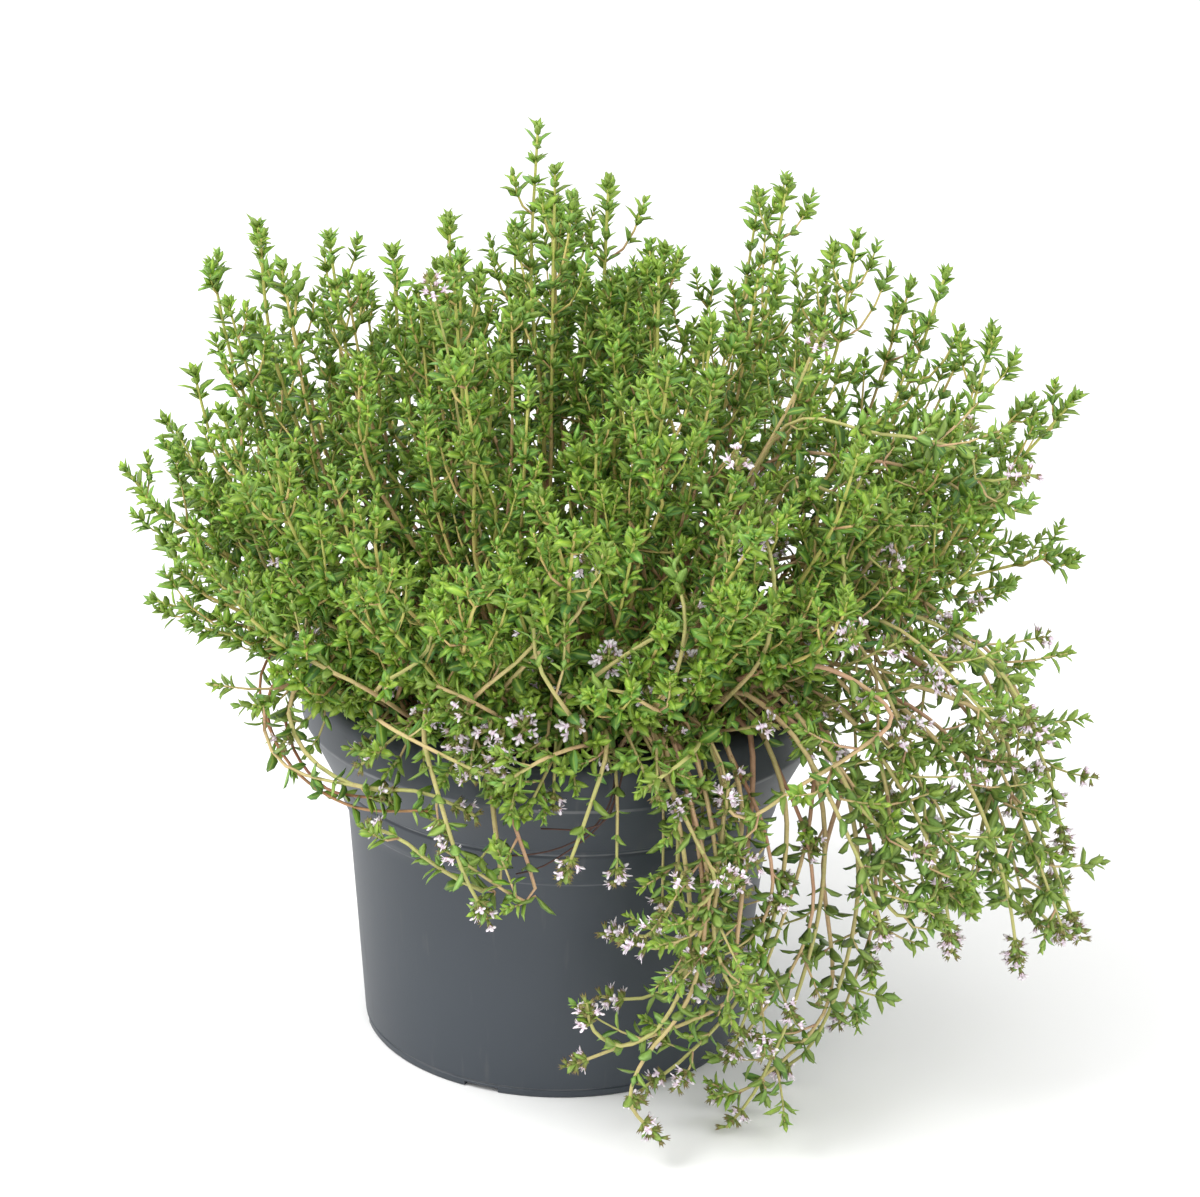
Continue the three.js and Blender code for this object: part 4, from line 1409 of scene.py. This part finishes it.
potShape = {
    "steps": 120,
    "notches": 6,
    "notchWidth": 13,
    "notchRing": 70,
    "notchHeight": 2,
    "drains": 6,
    "drainRadius": 4,
    "drainRing": 55,
    "drainHeight": 4.5,
}
# The pot's outline from the middle of its underside, out and over the rim and back down inside
potOutline = [
    (0, 0), (46, 0), (47.5, 3.5), (64, 3.5), (65.5, 0), (70.4, 0), (70.9, 0.5), (71.1, 2.7),
    (70.7, 3.0), (70.7, 3.4), (71.2, 3.7), (74.6, 45.0), (77.9, 84.0), (78.2, 87.2), (78.6, 87.9),
    (80.0, 89.9), (80.4, 90.7), (80.6, 91.6), (81.5, 99.0), (81.5, 99.6), (81.2, 99.9),
    (81.2, 100.4), (81.6, 100.7), (82.0, 103.0), (82.5, 134.8), (83.4, 135.5), (90.4, 135.5),
    (91.3, 134.9), (93.2, 125.2), (92.9, 124.6), (84.6, 105.6), (83.6, 104.5), (83.5, 103.5),
    (83.9, 103.1), (84.4, 103.0), (84.9, 103.4), (93.6, 121.2), (94.3, 122.2), (94.8, 123.2),
    (95.0, 124.4), (95.0, 134.2), (94.8, 136.2), (94.0, 138.0), (92.6, 139.2), (90.6, 139.9),
    (88.0, 140.0), (83.6, 139.3), (82.2, 138.4), (81.3, 136.8), (80.9, 134.8), (80.4, 103.0),
    (76.7, 87.5), (69.6, 6.6), (68.9, 5.7), (67.8, 5.5), (46.2, 5.5), (45.2, 5.1), (44.4, 2.4),
    (43.6, 2.0), (0, 2.0),
]


def spinOutline(bm, outline, steps):
    points = [bm.verts.new((r, 0, z)) for r, z in outline]
    edges = [bm.edges.new(pair) for pair in zip(points, points[1:])]
    bmesh.ops.spin(bm, geom=points + edges, cent=(0, 0, 0), axis=(0, 0, 1), dvec=(0, 0, 0),
                   angle=math.tau, steps=steps, use_merge=True)
    bmesh.ops.remove_doubles(bm, verts=bm.verts, dist=0.01)
    bmesh.ops.recalc_face_normals(bm, faces=bm.faces)


def makePot():
    bm = bmesh.new()
    spinOutline(bm, potOutline, potShape["steps"])
    for face in bm.faces:
        face.smooth = True
    for edge in bm.edges:
        if len(edge.link_faces) == 2 and edge.calc_face_angle() > math.radians(50):
            edge.smooth = False
    pot = addToScene("thymePot", meshFrom(bm, "thymePot"))
    cutters = bmesh.new()
    radius, ring = potShape["drainRadius"], potShape["drainRing"]
    for i in range(potShape["drains"]):
        angle = (i + 0.5) / potShape["drains"] * math.tau
        made = bmesh.ops.create_cone(cutters, cap_ends=True, segments=24, radius1=radius,
                                     radius2=radius, depth=8)["verts"]
        spot = (math.cos(angle) * ring, math.sin(angle) * ring, potShape["drainHeight"])
        bmesh.ops.translate(cutters, verts=made, vec=spot)
    for i in range(potShape["notches"]):
        angle = (i + 0.15) / potShape["notches"] * math.tau
        made = bmesh.ops.create_cube(cutters, size=1)["verts"]
        size = (14, potShape["notchWidth"], potShape["notchHeight"] * 2)
        bmesh.ops.scale(cutters, verts=made, vec=size)
        bmesh.ops.translate(cutters, verts=made, vec=(potShape["notchRing"], 0, 0))
        bmesh.ops.rotate(cutters, verts=made, matrix=Matrix.Rotation(angle, 3, "Z"))
    cutter = addToScene("potCutters", meshFrom(cutters, "potCutters"))
    cut = pot.modifiers.new("drains", "BOOLEAN")
    cut.object, cut.operation, cut.solver = cutter, "DIFFERENCE", "EXACT"
    depsgraph = bpy.context.evaluated_depsgraph_get()
    whole = bpy.data.meshes.new_from_object(pot.evaluated_get(depsgraph))
    pot.modifiers.clear()
    pot.data = whole
    bpy.data.objects.remove(cutter)
    whole.transform(toMetres)
    whole.materials.clear()
    whole.materials.append(potMaterial())
    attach(pot, "root")
    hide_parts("pot")


makePot()
print("pot made")

soilLooks = {
    "finish": {"Roughness": 0.95},
    "dark": colour(34, 25, 20),
    "light": colour(66, 50, 38),
    "clod": colour(88, 68, 50),
    "steps": 64,
    "radius": 79.2,
    "crumbs": 420,
    "crumbReach": 75,
}


def soilMaterial():
    recipe = Recipe("compost", soilLooks["finish"])
    where = recipe.where()
    grain = recipe.noise(where, 420.0, 4.0)
    clods = recipe.noise(where, 90.0, 3.0)
    tone = recipe.mix(grain.between(0.35, 0.7), soilLooks["dark"], soilLooks["light"])
    tone = recipe.mix(clods.between(0.55, 0.75) * 0.5, tone, soilLooks["clod"])
    recipe.feed({"Base Color": tone})
    recipe.bump(grain + clods, 0.9, 0.0015)
    return recipe.material


def soilSwell(x, y):  # low mounds
    return 0.9 * (math.sin(x * 0.13) + math.cos(y * 0.11 + 1))


def makeSoil():
    bm = bmesh.new()
    radius = soilLooks["radius"]
    outline = [(0, 2.4), (43.8, 2.4), (45.3, 5.9), (68.6, 5.9), (75.7, 87.5), (radius, 103.0),
               (radius, 120.0)]
    outline += [(r, soilTop) for r in (77, 73, 68, 62, 55, 47, 39, 30, 20, 10, 0)]
    spinOutline(bm, outline, soilLooks["steps"])
    for vert in bm.verts:
        x, y, z = vert.co
        if z > soilTop - 1:
            edge = 1.5 if math.hypot(x, y) > 76 else 0
            rough = math.sin(x * 0.71 + 2 * math.sin(y * 0.33)) * math.cos(y * 0.63 + x * 0.21)
            vert.co.z = z + soilSwell(x, y) + 0.7 * rough - edge
    for face in bm.faces:
        face.smooth = True
    for k in range(soilLooks["crumbs"]):
        turn, share, grown, squash = (draw(k, i, 81) for i in (1, 2, 3, 4))
        out = math.sqrt(share) * soilLooks["crumbReach"]
        x, y = out * math.cos(turn * math.tau), out * math.sin(turn * math.tau)
        size = 0.7 + 1.5 * grown ** 3
        made = bmesh.ops.create_icosphere(bm, subdivisions=1, radius=size)["verts"]
        for i, vert in enumerate(made):
            vert.co *= 0.7 + 0.6 * draw(k, i, 82)
        bmesh.ops.scale(bm, verts=made, vec=(1, 0.7 + 0.3 * squash, 0.7))
        spot = (x, y, soilTop + soilSwell(x, y) + size * 0.3)
        bmesh.ops.translate(bm, verts=made, vec=spot)
    mesh = meshFrom(bm, "compost")
    mesh.transform(toMetres)
    mesh.materials.append(soilMaterial())
    soil = addToScene("compost", mesh)
    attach(soil, "root")
    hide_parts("soil")


makeSoil()
print("soil made")

studio = {
    "floor": 4.0,
    "paper": (0.93, 0.93, 0.93, 1),
    "sky": 1.12,
    "aim": (0, 0, 0.17),
    "lamps": {  # place, size and power
        "keyLamp": ((-1.1, -0.5, 1.7), 1.1, 27.0),
        "fillLamp": ((0.9, -1.2, 1.2), 1.2, 7.0),
    },
}


def makeStudio():
    bm = bmesh.new()
    bmesh.ops.create_grid(bm, x_segments=1, y_segments=1, size=studio["floor"])
    floor = addToScene("studioFloor", meshFrom(bm, "studioFloor"))
    recipe = Recipe("studioFloor", {"Roughness": 0.9, "Base Color": studio["paper"]})
    floor.data.materials.append(recipe.material)
    sky = bpy.data.worlds.new("studioSky")
    sky.use_nodes = True
    background = sky.node_tree.nodes["Background"]
    background.inputs["Color"].default_value = (1, 1, 1, 1)
    background.inputs["Strength"].default_value = studio["sky"]
    bpy.context.scene.world = sky
    for name, (place, size, power) in studio["lamps"].items():
        lamp = bpy.data.lights.new(name, "AREA")
        lamp.shape, lamp.size, lamp.energy = "DISK", size, power
        holder = addToScene(name, lamp)
        holder.location = place
        aim = Vector(studio["aim"]) - Vector(place)
        holder.rotation_euler = aim.to_track_quat("-Z", "Y").to_euler()


makeStudio()
bpy.context.scene.view_settings.view_transform = "Standard"
print("studio made")

for name, faces, triangles, counts in totals:
    print(name, faces, "faces", triangles, "triangles", counts)
print("all grown pieces:", sum(t[2] for t in totals), "triangles",
      sum(t[3]["leaf"] for t in totals), "leaves",
      sum(t[3]["floret"] for t in totals), "florets and calyces")
